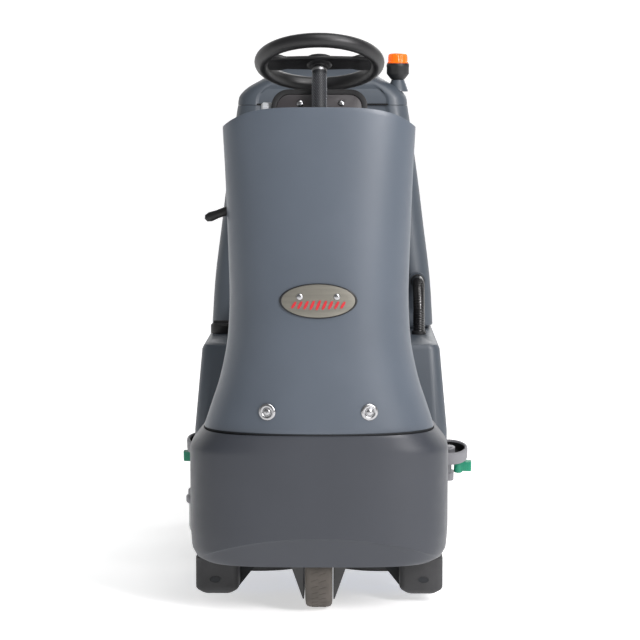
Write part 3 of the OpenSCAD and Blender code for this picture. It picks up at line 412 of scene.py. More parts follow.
def dress(node, width, material, segments=2):
    """The usual case: the softened copy stands for its own node."""
    return settle(softened(node, width, material, segments), node)


# %% [markdown]
# ## Leg shield
# The shield is one thin moulding that wraps round the driver's knees: a flat-fronted oval in
# plan, narrow at the waist, flared at the foot and at the top. A formula gives each point, so
# the same curve also places the badge and the bolts.

# %% Leg shield
shield_low, shield_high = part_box("leg_shield")
SHIELD_EDGE_Y = shield_high[1]
SHIELD_TOP = shield_high[2]
SHIELD_FOOT = shield_low[2]
SHIELD_HALF = [(SHIELD_FOOT, 0.261), (0.475, 0.242), (0.515, 0.2285), (0.563, 0.2165), (0.615, 0.2075),
               (0.69, 0.2025), (0.76, 0.203), (0.99, 0.2115), (1.096, 0.217), (SHIELD_TOP, 0.217)]
SHIELD_DEPTH = [(SHIELD_FOOT, SHIELD_EDGE_Y - shield_low[1] - 0.0005), (0.70, 0.150), (SHIELD_TOP, 0.117)]
SHIELD_POWER = 2.4
SHIELD_DIP = 0.043


def shield_point(angle, z, inset=0.0):
    half = curve_value(z, SHIELD_HALF) - inset
    depth = curve_value(z, SHIELD_DEPTH) - inset
    return (half * bend(math.sin(angle), 2 / SHIELD_POWER),
            SHIELD_EDGE_Y - depth * math.cos(angle) ** (2 / SHIELD_POWER), z)


def shield_y(x, z):
    share = min(1.0, abs(x) / curve_value(z, SHIELD_HALF))
    return SHIELD_EDGE_Y - curve_value(z, SHIELD_DEPTH) * (1 - share**SHIELD_POWER) ** (1 / SHIELD_POWER)


def wrapped_sheet(name, point, angles, rows, wall, material, lip):
    """A sheet through point(angle, row), given a wall and a rounded rim."""
    verts = [point(a, v) for v in rows for a in angles]
    obj = outward(made(name, verts, quads(len(rows), len(angles), False), material))
    wrap = obj.modifiers.new("wall", "SOLIDIFY")
    wrap.thickness = wall
    wrap.offset = -1
    wrap.use_even_offset = True
    edge = obj.modifiers.new("rim", "BEVEL")
    edge.width = lip
    edge.segments = 3
    edge.limit_method = "ANGLE"
    edge.angle_limit = math.radians(50)
    return smooth(plain(obj), 50)


def shield_grid(angle, v):
    """v runs from the foot to the crown, which dips at both side edges."""
    crown = SHIELD_TOP - SHIELD_DIP * abs(math.sin(angle)) ** 3.4
    return shield_point(angle, SHIELD_FOOT + v * (crown - SHIELD_FOOT))


SWEEP = [math.radians(-90 + 180 * i / 72) for i in range(73)]
shield = wrapped_sheet("leg_shield_skin", shield_grid, SWEEP, [i / 60 for i in range(61)],
                       5 * MM, "shield_grey", 1.3 * MM)
settle(shield, "leg_shield")

# %% [markdown]
# ## Lower cowl
# The nose is squarer in plan. Its shoulders are cut off at a slant up to the seam, and under a
# shallow arched crease the skin tucks in. The crease is a real edge: rows of points lie on it.

# %% Lower cowl
cowl_low, cowl_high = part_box("lower_cowl")
COWL_EDGE_Y = -0.480
COWL_BACK_Y = cowl_high[1]
COWL_HALF = [(0, 0.264), (8, 0.280), (26, 0.290), (70, 0.2935), (254, 0.294), (261, 0.291),
             (279, 0.2765), (298, 0.262)]
COWL_POWER = 3.0
CREASE_RISE = 0.068
SIDE_ON = math.radians(90)


def cowl_half(z):
    t = (z - cowl_low[2]) / MM
    for (t0, v0), (t1, v1) in zip(COWL_HALF, COWL_HALF[1:]):
        if t <= t1:
            return v0 + (v1 - v0) * max(0, t - t0) / (t1 - t0)
    return COWL_HALF[-1][1]


def crease_height(angle):
    return cowl_low[2] + CREASE_RISE - 0.062 * abs(math.sin(angle)) ** 1.6


def cowl_grid(angle, v):
    """v runs 0 to 1 under the crease, 1 to 2 above it."""
    crease = crease_height(angle)
    if v <= 1:
        z = cowl_low[2] + v * (crease - cowl_low[2])
        step_in = 0.0035 * min(1.0, (crease - z) / 0.003)
        tuck = step_in + 0.0215 * (crease - z) / CREASE_RISE
    else:
        z = crease + (v - 1) * (cowl_high[2] - crease)
        tuck = 0.0
    depth = COWL_EDGE_Y - cowl_low[1] - tuck
    turn = min(SIDE_ON, abs(angle))
    x = math.copysign(cowl_half(z) * math.sin(turn) ** (2 / COWL_POWER), angle)
    y = COWL_EDGE_Y - depth * math.cos(turn) ** (2 / COWL_POWER)
    if abs(angle) > SIDE_ON:
        y += (COWL_BACK_Y - COWL_EDGE_Y) * (abs(angle) - SIDE_ON) / math.radians(30)
    return (x, y, z)


cowl_angles = [math.radians(-120 + 240 * i / 96) for i in range(97)]
cowl_rows = [0, 0.12, 0.3, 0.5, 0.75, 0.9, 0.955, 1.0, 1.02, 1.06]
cowl_rows += [1.06 + 0.94 * i / 34 for i in range(1, 35)]
cowl = wrapped_sheet("lower_cowl_skin", cowl_grid, cowl_angles, cowl_rows, 6 * MM, "cowl_grey", 1.6 * MM)
settle(cowl, "lower_cowl")


def seam_strip():
    """A lip of painted shade just inside both skins: painted shadow in the gap, so the seam reads as one thin
    dark line.
    """
    rows = ((0.4085, 0.004), (0.4135, 0.0010), (0.4185, 0.0010), (0.4235, 0.004))
    verts = [shield_point(a, 0.4182, inset)[:2] + (z,) for z, inset in rows for a in SWEEP]
    strip = outward(made("seam_strip", verts, quads(len(rows), len(SWEEP), False), "seam_shadow"))
    wall = strip.modifiers.new("wall", "SOLIDIFY")
    wall.thickness = 0.8 * MM
    return smooth(plain(strip), 60)


settle(seam_strip(), body="machine")

# %% [markdown]
# ## Badge
# The badge is a thin oval plate bent to the shield, with a dark beaded rim. It carries a plain
# red wave pattern and no letters.

# %% Badge
BADGE_Z = 0.712
BADGE_HALF = (0.086, 0.0385)


def on_badge(radius, angle, lift):
    x = BADGE_HALF[0] * radius * math.cos(angle)
    z = BADGE_Z + BADGE_HALF[1] * radius * math.sin(angle)
    return (x, shield_y(x, z) - lift, z)


def badge_rings(name, profile, material, steps=96):
    rings = [[on_badge(r, a, lift * MM) for a in full_turn(steps)] for r, lift in profile]
    return loft(name, rings, material, closed_ends=False)


def closed_centre(obj):
    with editing(obj) as work:
        bmesh.ops.holes_fill(work, edges=[e for e in work.edges if e.is_boundary])
    return outward(obj)


face_profile = [(0.04, 0.2), (0.975, 0.2), (0.975, 2.0), (0.93, 2.4), (0.75, 2.5), (0.5, 2.6),
                (0.25, 2.7), (0.04, 2.7)]
rim_profile = [(0.945, 0.3), (1.0, 0.3), (1.0, 2.6), (0.985, 3.4), (0.96, 3.4), (0.945, 2.6), (0.945, 0.3)]
plate = closed_centre(badge_rings("badge_face", face_profile, "badge_metal"))
rim = badge_rings("badge_rim", rim_profile, "black_plastic")


def wave_bar(index, count=9):
    """One slanted bar of the wave pattern, laid on the badge."""
    middle = (count - 1) / 2
    x = (index - middle) * 0.0135
    tall = 0.0105 * (1 - 0.35 * abs(index - middle) / (count / 2))
    rings = []
    for step in range(9):
        t = -1 + step / 4
        half = 0.0034 * (1 - 0.45 * t * t)
        pz = BADGE_Z - 0.009 + t * tall
        ring = []
        for side, lift in ((-1, 3.6), (1, 3.6), (1, 2.4), (-1, 2.4)):
            px = x + side * half + 0.004 * t
            ring.append((px, shield_y(px, pz) - lift * MM, pz))
        rings.append(ring)
    return loft(f"wave_{index}", rings, "motif_red")


badge = joined("badge_assembly", [plate, rim] + [wave_bar(i) for i in range(9)])
settle(smooth(badge, 40), "badge_plate")

# %% [markdown]
# ## Screws and cup washers
# One dome screw with a cross recess is drawn once. Geometry Nodes then puts a copy on every
# point of a small mesh, scaled and turned by that point's own attributes.

# %% Geometry Nodes: instance one mesh on points
def scatter_group(name, source, material):
    """Copies of a source object on each vertex, turned by 'turn' and scaled by 'grow'."""
    group = bpy.data.node_groups.new(name, "GeometryNodeTree")
    group.interface.new_socket("Geometry", in_out="INPUT", socket_type="NodeSocketGeometry")
    group.interface.new_socket("Geometry", in_out="OUTPUT", socket_type="NodeSocketGeometry")
    group.interface.new_socket("Size", in_out="INPUT", socket_type="NodeSocketFloat").default_value = 1.0
    nodes, links = group.nodes, group.links
    start, end = nodes.new("NodeGroupInput"), nodes.new("NodeGroupOutput")
    info = nodes.new("GeometryNodeObjectInfo")
    info.inputs["Object"].default_value = source
    info.inputs["As Instance"].default_value = True
    turn = nodes.new("GeometryNodeInputNamedAttribute")
    turn.data_type = "FLOAT_VECTOR"
    turn.inputs["Name"].default_value = "turn"
    grow = nodes.new("GeometryNodeInputNamedAttribute")
    grow.data_type = "FLOAT"
    grow.inputs["Name"].default_value = "grow"
    scaled = nodes.new("ShaderNodeMath")
    scaled.operation = "MULTIPLY"
    links.new(grow.outputs["Attribute"], scaled.inputs[0])
    links.new(start.outputs["Size"], scaled.inputs[1])
    put = nodes.new("GeometryNodeInstanceOnPoints")
    links.new(start.outputs["Geometry"], put.inputs["Points"])
    links.new(info.outputs["Geometry"], put.inputs["Instance"])
    links.new(turn.outputs["Attribute"], put.inputs["Rotation"])
    links.new(scaled.outputs["Value"], put.inputs["Scale"])
    real = nodes.new("GeometryNodeRealizeInstances")
    links.new(put.outputs["Instances"], real.inputs["Geometry"])
    paint = nodes.new("GeometryNodeSetMaterial")
    paint.inputs["Material"].default_value = FINISHES[material]
    links.new(real.outputs["Geometry"], paint.inputs["Geometry"])
    links.new(paint.outputs["Geometry"], end.inputs["Geometry"])
    return group


def scattered(name, source, places, material, size=1.0):
    """places holds (position, euler turn, scale); the source is removed afterwards."""
    obj = made(name, [tuple(p) for p, _, _ in places], [], material)
    obj.data.attributes.new("turn", "FLOAT_VECTOR", "POINT")
    obj.data.attributes.new("grow", "FLOAT", "POINT")
    for i, (_, turn, grow) in enumerate(places):
        obj.data.attributes["turn"].data[i].vector = tuple(turn)
        obj.data.attributes["grow"].data[i].value = grow
    group = scatter_group(f"{name}_copies", source, material)
    modifier = obj.modifiers.new("copies", "NODES")
    modifier.node_group = group
    key = next(i.identifier for i in group.interface.items_tree
               if i.name == "Size" and i.in_out == "INPUT")
    modifier[key] = size
    plain(obj)
    if obj.data.materials:
        obj.data.materials.clear()
    obj.data.materials.append(FINISHES[material])
    for polygon in obj.data.polygons:
        polygon.material_index = 0
    bpy.data.objects.remove(source)
    return obj


# %% Dome screws and cup washers
def dome_screw(radius=0.0075, height=0.0034):
    rise = [math.radians(a) for a in (20, 40, 60, 76)]
    dome = [(radius * math.cos(a), height * math.sin(a)) for a in rise]
    foot = [(radius * 0.9, -0.0004), (radius, 0)]
    socket = [(radius * 0.16, height * 0.99), (radius * 0.15, height * 0.45)]
    return smooth(lathe("dome_screw", foot + dome + socket, "chrome_trim", steps=28), 35)


def facing_front(turn_z=0.0, lean=0.0):
    return (math.radians(90) + lean, 0, turn_z)


BOLT_X, BOLT_Z, BOLT_TURN = 0.113, 0.466, math.radians(13)
COLUMN_LEAN = math.radians(21)
COLUMN_TURN = Matrix.Rotation(-COLUMN_LEAN, 3, "X")
WHEEL_AT = Vector((0, -0.43, 1.237))
badge_y = shield_y(0.041, BADGE_Z + 0.009) - 2.4 * MM
places = [((side * 0.041, badge_y, BADGE_Z + 0.009), facing_front(side * 0.06), 1.0) for side in (-1, 1)]
badge_screws = scattered("badge_screws", dome_screw(), places, "chrome_trim")


def cup_washer():
    profile = [(17, -0.3), (19, 0.5), (19, 1.4), (18.4, 2.2), (17.2, 3.2), (15, 3.9), (12.2, 4.0),
               (10.6, 3.0), (9.8, 1.8), (9.2, 1.2), (0.6, 1.2)]
    return turned("cup_washer", profile, "chrome_trim", steps=48, angle=30)


bolt_y = shield_y(BOLT_X, BOLT_Z) - 0.6 * MM
bolt_places = [((side * BOLT_X, bolt_y, BOLT_Z), facing_front(side * BOLT_TURN), 1.0) for side in (-1, 1)]
washers = scattered("cup_washers", cup_washer(), bolt_places, "chrome_trim")
head_places = [((side * (BOLT_X + 0.0006), bolt_y - 1.2 * MM, BOLT_Z), facing_front(side * BOLT_TURN), 1.12)
               for side in (-1, 1)]
bolt_heads = scattered("bolt_heads", dome_screw(), head_places, "chrome_trim")


def from_column(x, y, z):
    """A point given in the leaning column's own frame."""
    return WHEEL_AT + COLUMN_TURN @ Vector((x, y, z))


pod_screw_places = [(from_column(x, 0.0258, -0.088), facing_front(0, -COLUMN_LEAN), g)
                    for x, g in ((-0.044, 1.2), (0.050, 1.0))]
pod_screws = scattered("pod_screws", dome_screw(), pod_screw_places, "chrome_trim")
fasteners = joined("trim_fasteners", [badge_screws, washers, bolt_heads, pod_screws])
settle(smooth(fasteners, 35), "trim_screws")

# %% [markdown]
# ## Steering wheel
# A foam-covered rim on a flat spoke. The rim is a torus with a faint moulding seam, the spoke is
# a broad bar whose ends rise where they meet the rim, and a shallow cap closes the hub.

# %% Steering wheel
RIM_R, TUBE_R = 0.1315, 0.0165
SPOKE_HALF = 0.124


def steering_rim(around=128, tube=28):
    rings = []
    for a in full_turn(around):
        ring = []
        for b in full_turn(tube):
            r = TUBE_R * (1 - 0.03 * math.exp(-(((b - math.pi) / 0.16) ** 2)))
            reach = RIM_R + r * math.cos(b)
            ring.append(from_column(reach * math.cos(a), reach * math.sin(a), r * math.sin(b)))
        rings.append(ring)
    rings.append(rings[0])
    obj = loft("steering_rim", rings, "rim_rubber", closed_ends=False)
    return smooth(outward(obj, merge=1e-6), 60)


def spoke_bar():
    """The spoke's section changes along its length: wide and thin, with thick raised roots."""
    rings = []
    count = 41
    for i in range(count):
        x = -SPOKE_HALF + 2 * SPOKE_HALF * i / (count - 1)
        share = abs(x) / SPOKE_HALF
        root = max(0.0, min(1.0, (share - 0.62) / 0.1))
        width = 0.036 - 0.009 * share + 0.005 * root
        top = 0.006 + 0.0045 * root
        low = -0.006 - 0.003 * root
        ring = []
        for b in full_turn(20):
            y = width * bend(math.cos(b), 0.55)
            z = (top if math.sin(b) > 0 else -low) * bend(math.sin(b), 0.55)
            ring.append(from_column(x, y, z))
        rings.append(ring)
    return smooth(loft("spoke_bar", rings, "rim_rubber"), 50)


def wheel_hub():
    profile = [(18, -12), (19.5, -11), (20, -8.5), (28, -7), (31, -4), (33, 6), (31, 9.5), (25, 11.5),
               (12, 12.8), (1, 13)]
    return turned("wheel_hub", profile, "black_plastic", WHEEL_AT, COLUMN_TURN)


settle(joined("steering_wheel_assembly", [steering_rim(), spoke_bar(), wheel_hub()]), "steering_wheel")

# %% [markdown]
# ## Column sleeve
# The sleeve is covered with a fine diamond knurl. Each diamond is a four-sided stud, and the
# rows are staggered like bricks, so the pattern closes on itself round the tube.

# %% Column sleeve
SLEEVE_R = 0.0175
SLEEVE_LOW, SLEEVE_HIGH = -0.2103, -0.016


def knurl_stud():
    r, h = 0.0008, 0.0012
    verts = [(r, 0, 0), (0, r * 1.25, 0), (-r, 0, 0), (0, -r * 1.25, 0), (0, 0, h)]
    faces = [(0, 1, 4), (1, 2, 4), (2, 3, 4), (3, 0, 4), (3, 2, 1, 0)]
    return made("knurl_stud", verts, faces, "sleeve_mesh")


def knurl_places(around=22, pitch=0.0036):
    places = []
    foot_r = SLEEVE_R - 0.0009
    for row in range(int((SLEEVE_HIGH - SLEEVE_LOW - 0.016) / pitch)):
        for i in range(around):
            a = 2 * math.pi * (i + 0.5 * (row % 2)) / around
            c, d = math.cos(a), math.sin(a)
            at = from_column(c * foot_r, d * foot_r, SLEEVE_LOW + 0.006 + row * pitch)
            upright = COLUMN_TURN @ Matrix(((-d, 0, c), (c, 0, d), (0, 1, 0)))
            places.append((at, upright.to_euler(), 1.0))
    return places


sleeve_profile = [(13, -210.3), (16.4, -210.3), (16.4, -18), (16.0, -16.4), (13, -16.4)]
sleeve = turned("sleeve_core", sleeve_profile, "sleeve_mesh", WHEEL_AT, COLUMN_TURN, 48, 30)
# The studs take the light grey knurl finish, which paints the glints on the sleeve's knurl.
studs = scattered("sleeve_knurl", knurl_stud(), knurl_places(), "knurl_painted_glint")
collar_profile = [(14, -22), (17.4, -22), (17.5, -17), (16.8, -16.1), (14, -16.1)]
collar = turned("sleeve_collar", collar_profile, "bright_steel", WHEEL_AT, COLUMN_TURN, 48, 30)
settle(joined("column_sleeve_assembly", [sleeve, studs, collar]), "column_sleeve")

# %% [markdown]
# ## Control pod
# The pod hangs behind the shield's top edge. Its brown front plate carries two fittings, its
# driver's side a screen with plain bars, a key, a stop button, three small buttons and a dial.

# %% Control pod
POD_MID, POD_FACE = -0.138, 0.076
FROM_FACE = COLUMN_TURN @ Matrix.Rotation(math.radians(-90), 3, "X")
dress("control_pod", 3.0, "black_plastic", 3)
dress("pod_plate", 0.8, "pod_brown")
dress("key_switch", 1.0, "chrome_trim")


def push_button(node, x):
    """A stem under a wider head that stays just clear of the pod's face when pressed."""
    profile = [(6.9, -14), (6.9, 3.4), (8.4, 3.4), (9, 4), (9, 5.2), (8.2, 6), (0.5, 6)]
    at = from_column(x, POD_FACE, POD_MID - 0.040)
    return turned(f"{node}_turned", profile, "dial_grey", at, FROM_FACE, 40)


for node, x in (("button_left", 0.088), ("button_middle", 0.062), ("button_right", 0.036)):
    settle(push_button(node, x), node)


def flat_bar(name, x, z, w, h, material):
    """A thin raised bar on the screen, in the column's frame."""
    corners = [(x + sx * w / 2, z + sz * h / 2) for sx, sz in ((-1, -1), (1, -1), (1, 1), (-1, 1))]
    return loft(name, [[from_column(cx, POD_FACE + lift, cz) for cx, cz in corners]
                       for lift in (0.0018, 0.0026)], material)


bars = [flat_bar(f"screen_bar_{i}", -0.030 + 0.014 * i, POD_MID + 0.028 + 0.001 * i * i, 0.007,
                 0.010 + 0.002 * i * i, "latch_green" if i < 3 else "float_orange") for i in range(5)]
bars.append(flat_bar("screen_line", 0.0, POD_MID + 0.050, 0.080, 0.0025, "dial_grey"))
settle(joined("display_assembly", [softened("display_panel", 0.8, "screen")] + bars), "display_panel")


def stop_head():
    profile = [(11.9, -14), (11.9, 12), (18, 12), (20, 16), (19.6, 19), (18, 22), (14, 25), (8, 26.3),
               (0.5, 26.5)]
    at = from_column(-0.062, POD_FACE, POD_MID - 0.038)
    return turned("stop_head", profile, "stop_red", at, FROM_FACE)


settle(stop_head(), "stop_button")


def grip_ridge(length, r=0.0011):
    """A short half-round ridge lying along X."""
    rings = [[(x, r * math.cos(a), r * math.sin(a)) for a in full_turn(8)] for x in (-length / 2, length / 2)]
    return loft("grip_ridge", rings, "dial_grey")


def dial_ridges(count=24):
    dial_r = 0.0148
    places = [(from_column(-0.1203, 0.050 + dial_r * math.cos(a), -0.094 + dial_r * math.sin(a)),
               COLUMN_TURN.to_euler(), 1.0) for a in full_turn(count)]
    return scattered("dial_ridges", grip_ridge(0.017), places, "dial_grey")


dial = joined("speed_dial_assembly", [softened("speed_dial", 1.2, "dial_grey", 3), dial_ridges()])
settle(dial, "speed_dial")
dress("squeegee_lever", 2.0, "black_plastic", 3)
dress("tower_cover", 1.5, "body_grey")
dress("steering_tower", 1.0, "frame_black")
dress("steering_column", 0.8, "bright_steel")
dress("steer_shaft", 0.8, "bright_steel")

# %% [markdown]
# ## Tank and lid
# Both are lofted through rounded rectangles. The front face carries a shallow panel set inside a
# border band, and that recess runs on from the tank into the lid before it fades out.

# %% Rounded rings with a recessed front
TANK_TOP, LID_TOP = 1.142, 1.252
RECESS = 0.007
TANK_HALF = [(0.570, 0.288), (0.695, 0.280), (0.834, 0.263), (0.948, 0.249), (1.103, 0.227),
             (TANK_TOP, 0.221)]
TANK_FRONT = [(0.570, 0.225), (TANK_TOP, 0.262)]
TANK_BACK = [(0.570, 0.536), (0.900, 0.528), (TANK_TOP, 0.500)]
LID_HALF = [(TANK_TOP, 0.221), (1.165, 0.217), (1.180, 0.205), (1.192, 0.190), (1.215, 0.150),
            (LID_TOP, 0.104)]
LID_FRONT = [(TANK_TOP, 0.262), (1.180, 0.268), (1.215, 0.284), (LID_TOP, 0.320)]
LID_BACK = [(TANK_TOP, 0.500), (1.180, 0.494), (1.215, 0.476), (LID_TOP, 0.440)]


def fade(t, t0, t1):
    """Rises smoothly from 0 at t0 to 1 at t1."""
    share = min(1.0, max(0.0, (t - t0) / (t1 - t0)))
    return 3 * share**2 - 2 * share**3


def quarter(cx, cy, radius, start, z):
    """The nine points of one rounded corner."""
    angles = [math.radians(start + 90 * i / 8) for i in range(9)]
    return [(cx + radius * math.cos(a), cy + radius * math.sin(a), z) for a in angles]


def hood_ring(half, front, back, z, recess=0.0, corner=0.046, shrink=0.0):
    """A rounded rectangle whose front side sinks in between two border bands."""
    half, front, back = half - shrink, front + shrink, back - shrink
    corner = max(0.012, corner - shrink)
    side = half - corner
    ring = quarter(side, back - corner, corner, 0, z) + quarter(-side, back - corner, corner, 90, z)
    ring += quarter(-side, front + corner, corner, 180, z)
    edge = side - 0.0026
    inner = edge - 0.012
    steps = [-edge, -edge + 0.003, -edge + 0.009] + [-inner * (1 - i / 5) for i in range(11)]
    steps += [edge - 0.009, edge - 0.003, edge]
    ring += [(x, front + recess * fade(edge - abs(x), 0.002, 0.010), z) for x in steps]
    return ring + quarter(side, front + corner, corner, 270, z)


def tank_ring(z, shrink=0.0):
    recess = 0.0 if shrink else RECESS * fade(z, 0.600, 0.622)
    half, front, back = (curve_value(z, table) for table in (TANK_HALF, TANK_FRONT, TANK_BACK))
    return hood_ring(half, front, back, z, recess, shrink=shrink)


def tank_skin(wall=0.0135):
    foot_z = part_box("recovery_tank")[0][2]
    start = foot_z + 0.010
    levels = [start + (TANK_TOP - start) * i / 40 for i in range(41)]
    levels = sorted(levels + [0.602, 0.606, 0.611, 0.616, 0.620])
    rings = [hood_ring(0.276, 0.235, 0.524, foot_z), hood_ring(0.282, 0.229, 0.530, foot_z + 0.004)]
    rings += [tank_ring(z) for z in levels]
    rings += [tank_ring(TANK_TOP, 0.002), tank_ring(TANK_TOP, wall)]
    rings += [tank_ring(z, wall) for z in levels[::-4]]
    rings.append(tank_ring(foot_z + 0.008, 0.016))
    return smooth(loft("tank_skin", rings, "body_grey"), 50)


def boss(name, profile, at, direction, material, steps=40):
    """A turned piece that points along a direction."""
    return turned(name, profile, material, at, Vector(direction).to_track_quat("Z", "Y").to_matrix(), steps)


hose_port = boss("hose_port", [(15.5, 0), (22, 0), (22, 28), (20.5, 30), (15.5, 30), (15.5, 0.2)],
                 (0.246, 0.2165, 0.690), (0, 1, 0), "body_grey")
suction_port = boss("suction_port", [(20, 0), (26, 0), (26, 29), (24.5, 31), (20, 31), (20, 0.2)],
                    (-0.150, 0.519, 0.6543), (0, 1, 0), "body_grey")


def brick(name, low, high, material, soft=1.5):
    """A block with rounded edges, from two corners in millimetres."""
    (x0, y0, z0), (x1, y1, z1) = [[c * MM for c in corner] for corner in (low, high)]
    plan = ((x0, y0), (x1, y0), (x1, y1), (x0, y1))
    obj = loft(name, [[(x, y, z) for x, y in plan] for z in (z0, z1)], material)
    edge = obj.modifiers.new("soft_edge", "BEVEL")
    edge.width = soft * MM
    edge.segments = 3
    return smooth(plain(obj), 40)


hinge_ears = [brick(f"hinge_ear_{i}", (x0, 494, 1118), (x0 + 10, 520, 1155), "body_grey")
              for i, x0 in enumerate((142, -152))]
HINGE_AT = [(i, side, (side * 0.090, 0.512, 1.149)) for i, side in enumerate((1, -1))]
hinge_pins = [boss(f"hinge_pin_{i}", [(1, 0), (5, 0), (5, 56), (1, 56)], at, (side, 0, 0), "bright_steel", 24)
              for i, side, at in HINGE_AT]
tank_pieces = [tank_skin(), hose_port, suction_port] + hinge_ears + hinge_pins
settle(joined("recovery_tank_assembly", tank_pieces), "recovery_tank")

# %% Lid
def lid_ring(z, shrink=0.0):
    recess = 0.0 if shrink else RECESS * (1 - fade(z, 1.180, 1.198))
    half, front, back = (curve_value(z, table) for table in (LID_HALF, LID_FRONT, LID_BACK))
    return hood_ring(half, front, back, z, recess, 0.044 if z < 1.24 else 0.040, shrink)


def lid_skin(low=1.1434, wall=0.006):
    """Drawn from the roof's inside, round the rim and up the outside to the flat top."""
    levels = [low + (LID_TOP - low) * i / 34 for i in range(35)]
    rings = [lid_ring(z, wall) for z in levels[-6::-4]]
    rings += [lid_ring(low, wall), lid_ring(low, 0.0012)]
    rings += [lid_ring(z) for z in levels[:-2]]
    rings += [lid_ring(1.2495), lid_ring(1.2515, 0.008), lid_ring(LID_TOP, 0.02), lid_ring(LID_TOP, 0.04)]
    return smooth(loft("lid_skin", rings, "body_grey"), 50)


BEACON_AT = (0.196, 0.320)
BEACON_FOOT = (*BEACON_AT, 1.2083)
UP = (0, 0, 1)
neck_profile = [(27, 0), (26, 5), (20, 22), (17.5, 28), (17, 30), (1, 30)]
neck = boss("beacon_neck", neck_profile, (*BEACON_AT, 1.178), UP, "body_grey")
knuckle_profile = [(5.1, 0), (9, 0), (9, 50), (5.1, 50), (5.1, 0.1)]
knuckles = [boss(f"lid_knuckle_{i}", knuckle_profile, at, (side, 0, 0), "body_grey", 32)
            for i, side, at in HINGE_AT]
leaves = [brick(f"lid_leaf_{i}", (x0, 486, 1148), (x0 + 50, 509, 1155), "body_grey")
          for i, x0 in enumerate((90, -140))]
ears = [brick(f"latch_ear_{i}", (x0, 252, 1158), (x0 + 7, 275, 1170), "body_grey", 1)
        for i, x0 in enumerate((19, -26))]
latch_pin = boss("latch_pin", [(1, 0), (3, 0), (3, 52), (1, 52)], (-0.026, 0.258, 1.164), (1, 0, 0),
                 "bright_steel", 20)
settle(joined("tank_lid_assembly", [lid_skin(), neck, latch_pin] + knuckles + leaves + ears), "tank_lid")
dress("lid_latch", 0.8, "black_plastic")
dress("filler_cap", 1.2, "black_plastic", 3)
dress("lower_body", 2.5, "body_grey", 3)
dress("seat_deck", 2.5, "body_grey", 3)

# %% [markdown]
# ## Beacon
# A black skirted base, then a ribbed orange lens. It rides the lid, because it stands on it.

# %% Beacon
def beacon_lens():
    """A stepped dome whose upright wall ripples with 24 flutes."""
    profile = [(27, 42.8), (27.4, 44), (27.2, 46), (25.4, 47.4), (25.2, 50), (25.0, 56), (24.6, 62),
               (23.2, 66), (19.5, 68.2), (12, 68.7), (1, 68.8)]
    rings = []
    for r, h in profile:
        flute = 0.45 if 50 <= h <= 66 else 0.0
        ring = []
        for a in full_turn(144):
            out = Vector((math.cos(a), math.sin(a), 0)) * (r + flute * math.cos(24 * a)) * MM
            ring.append(Vector(BEACON_FOOT) + out + Vector((0, 0, h * MM)))
        rings.append(ring)
    return smooth(loft("beacon_lens", rings, "lens_orange"), 30)


base_profile = [(1, 0), (15, 0), (17, 1), (24, 9), (28, 14.5), (29, 16), (29, 33), (29.6, 34), (29.6, 38),
                (28.6, 42.6), (1, 42.6)]
beacon_base = boss("beacon_base", base_profile, BEACON_FOOT, UP, "black_plastic", 72)
settle(joined("beacon_assembly", [beacon_lens(), beacon_base]), "beacon")

# %% [markdown]
# ## Cushions
# The seat and the backrest start as the CAD pads. They are re-meshed evenly, stitched lines are
# drawn in and held, and the cloth solver blows the vinyl up between them.

# %% Stuffed cushions
def inflate(obj, limit=0.008, frames=20):
    start = [v.co.copy() for v in obj.data.vertices]
    cloth = obj.modifiers.new("stuffing", "CLOTH")
    feel = cloth.settings
    feel.quality = 5
    feel.mass = 0.3
    feel.tension_stiffness = 30
    feel.compression_stiffness = 30
    feel.bending_stiffness = 0.8
    feel.use_pressure = True
    feel.uniform_pressure_force = 4
    feel.vertex_group_mass = "held"
    feel.effector_weights.gravity = 0
    cloth.collision_settings.use_collision = False
    cloth.point_cache.frame_start = 1
    cloth.point_cache.frame_end = frames
    for frame_number in range(1, frames + 1):
        scene.frame_set(frame_number)
    plain(obj)
    scene.frame_set(1)
    for vert, old in zip(obj.data.vertices, start):
        move = vert.co - old
        if move.length > limit:
            vert.co = old + move * (limit / move.length)
    return obj


def stuffed(node, stitch, hidden_side):
    obj = softened(node, 10, "seat_vinyl", 4)
    even = obj.modifiers.new("even", "REMESH")
    even.mode = "VOXEL"
    even.voxel_size = 0.006
    plain(obj)
    held = obj.vertex_groups.new(name="held")
    normals = [v.normal.copy() for v in obj.data.vertices]
    for vert, normal in zip(obj.data.vertices, normals):
        depth = stitch(vert.co, normal)
        if depth > 0.35 or hidden_side(vert.co):
            held.add([vert.index], 1.0, "REPLACE")
        vert.co -= normal * 0.0065 * depth
    inflate(obj)
    finer = obj.modifiers.new("finer", "SUBSURF")
    finer.levels = 1
    plain(obj)
    obj.data.materials.clear()
    obj.data.materials.append(FINISHES["seat_vinyl"])
    obj.data.shade_smooth()
    return obj


def near(value, line, width=0.008):
    return math.exp(-(((value - line) / width) ** 2))


seat_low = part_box("seat_cushion")[0]
back_low, back_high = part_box("backrest_cushion")
SEAT_WELT, BACK_WELT = 0.150, 0.140


def seat_stitch(co, normal):
    inside = abs(co.x) < SEAT_WELT and normal.z > 0.5
    across = max(near(co.y, line) for line in (-0.045, 0.030, 0.105)) if inside else 0.0
    along = near(abs(co.x), SEAT_WELT) if normal.z > 0.3 else 0.0
    return max(across, along, 0.7 * near(co.z, seat_low[2] + 0.040))


def back_stitch(co, normal):
    inside = abs(co.x) < BACK_WELT and normal.y < -0.5
    across = max(near(co.z, line) for line in (0.790, 0.876, 0.962)) if inside else 0.0
    along = near(abs(co.x), BACK_WELT) if normal.y < -0.3 else 0.0
    side = near(co.y, back_low[1] + 0.034 + 0.065 * (co.z - 0.7)) * 0.7 if normal.y > -0.6 else 0.0
    return max(across, along, side)


def under_seat(co):
    return co.z < seat_low[2] + 0.008


def behind_back(co):
    return co.y > back_high[1] - 0.03 * (1.06 - co.z) - 0.01


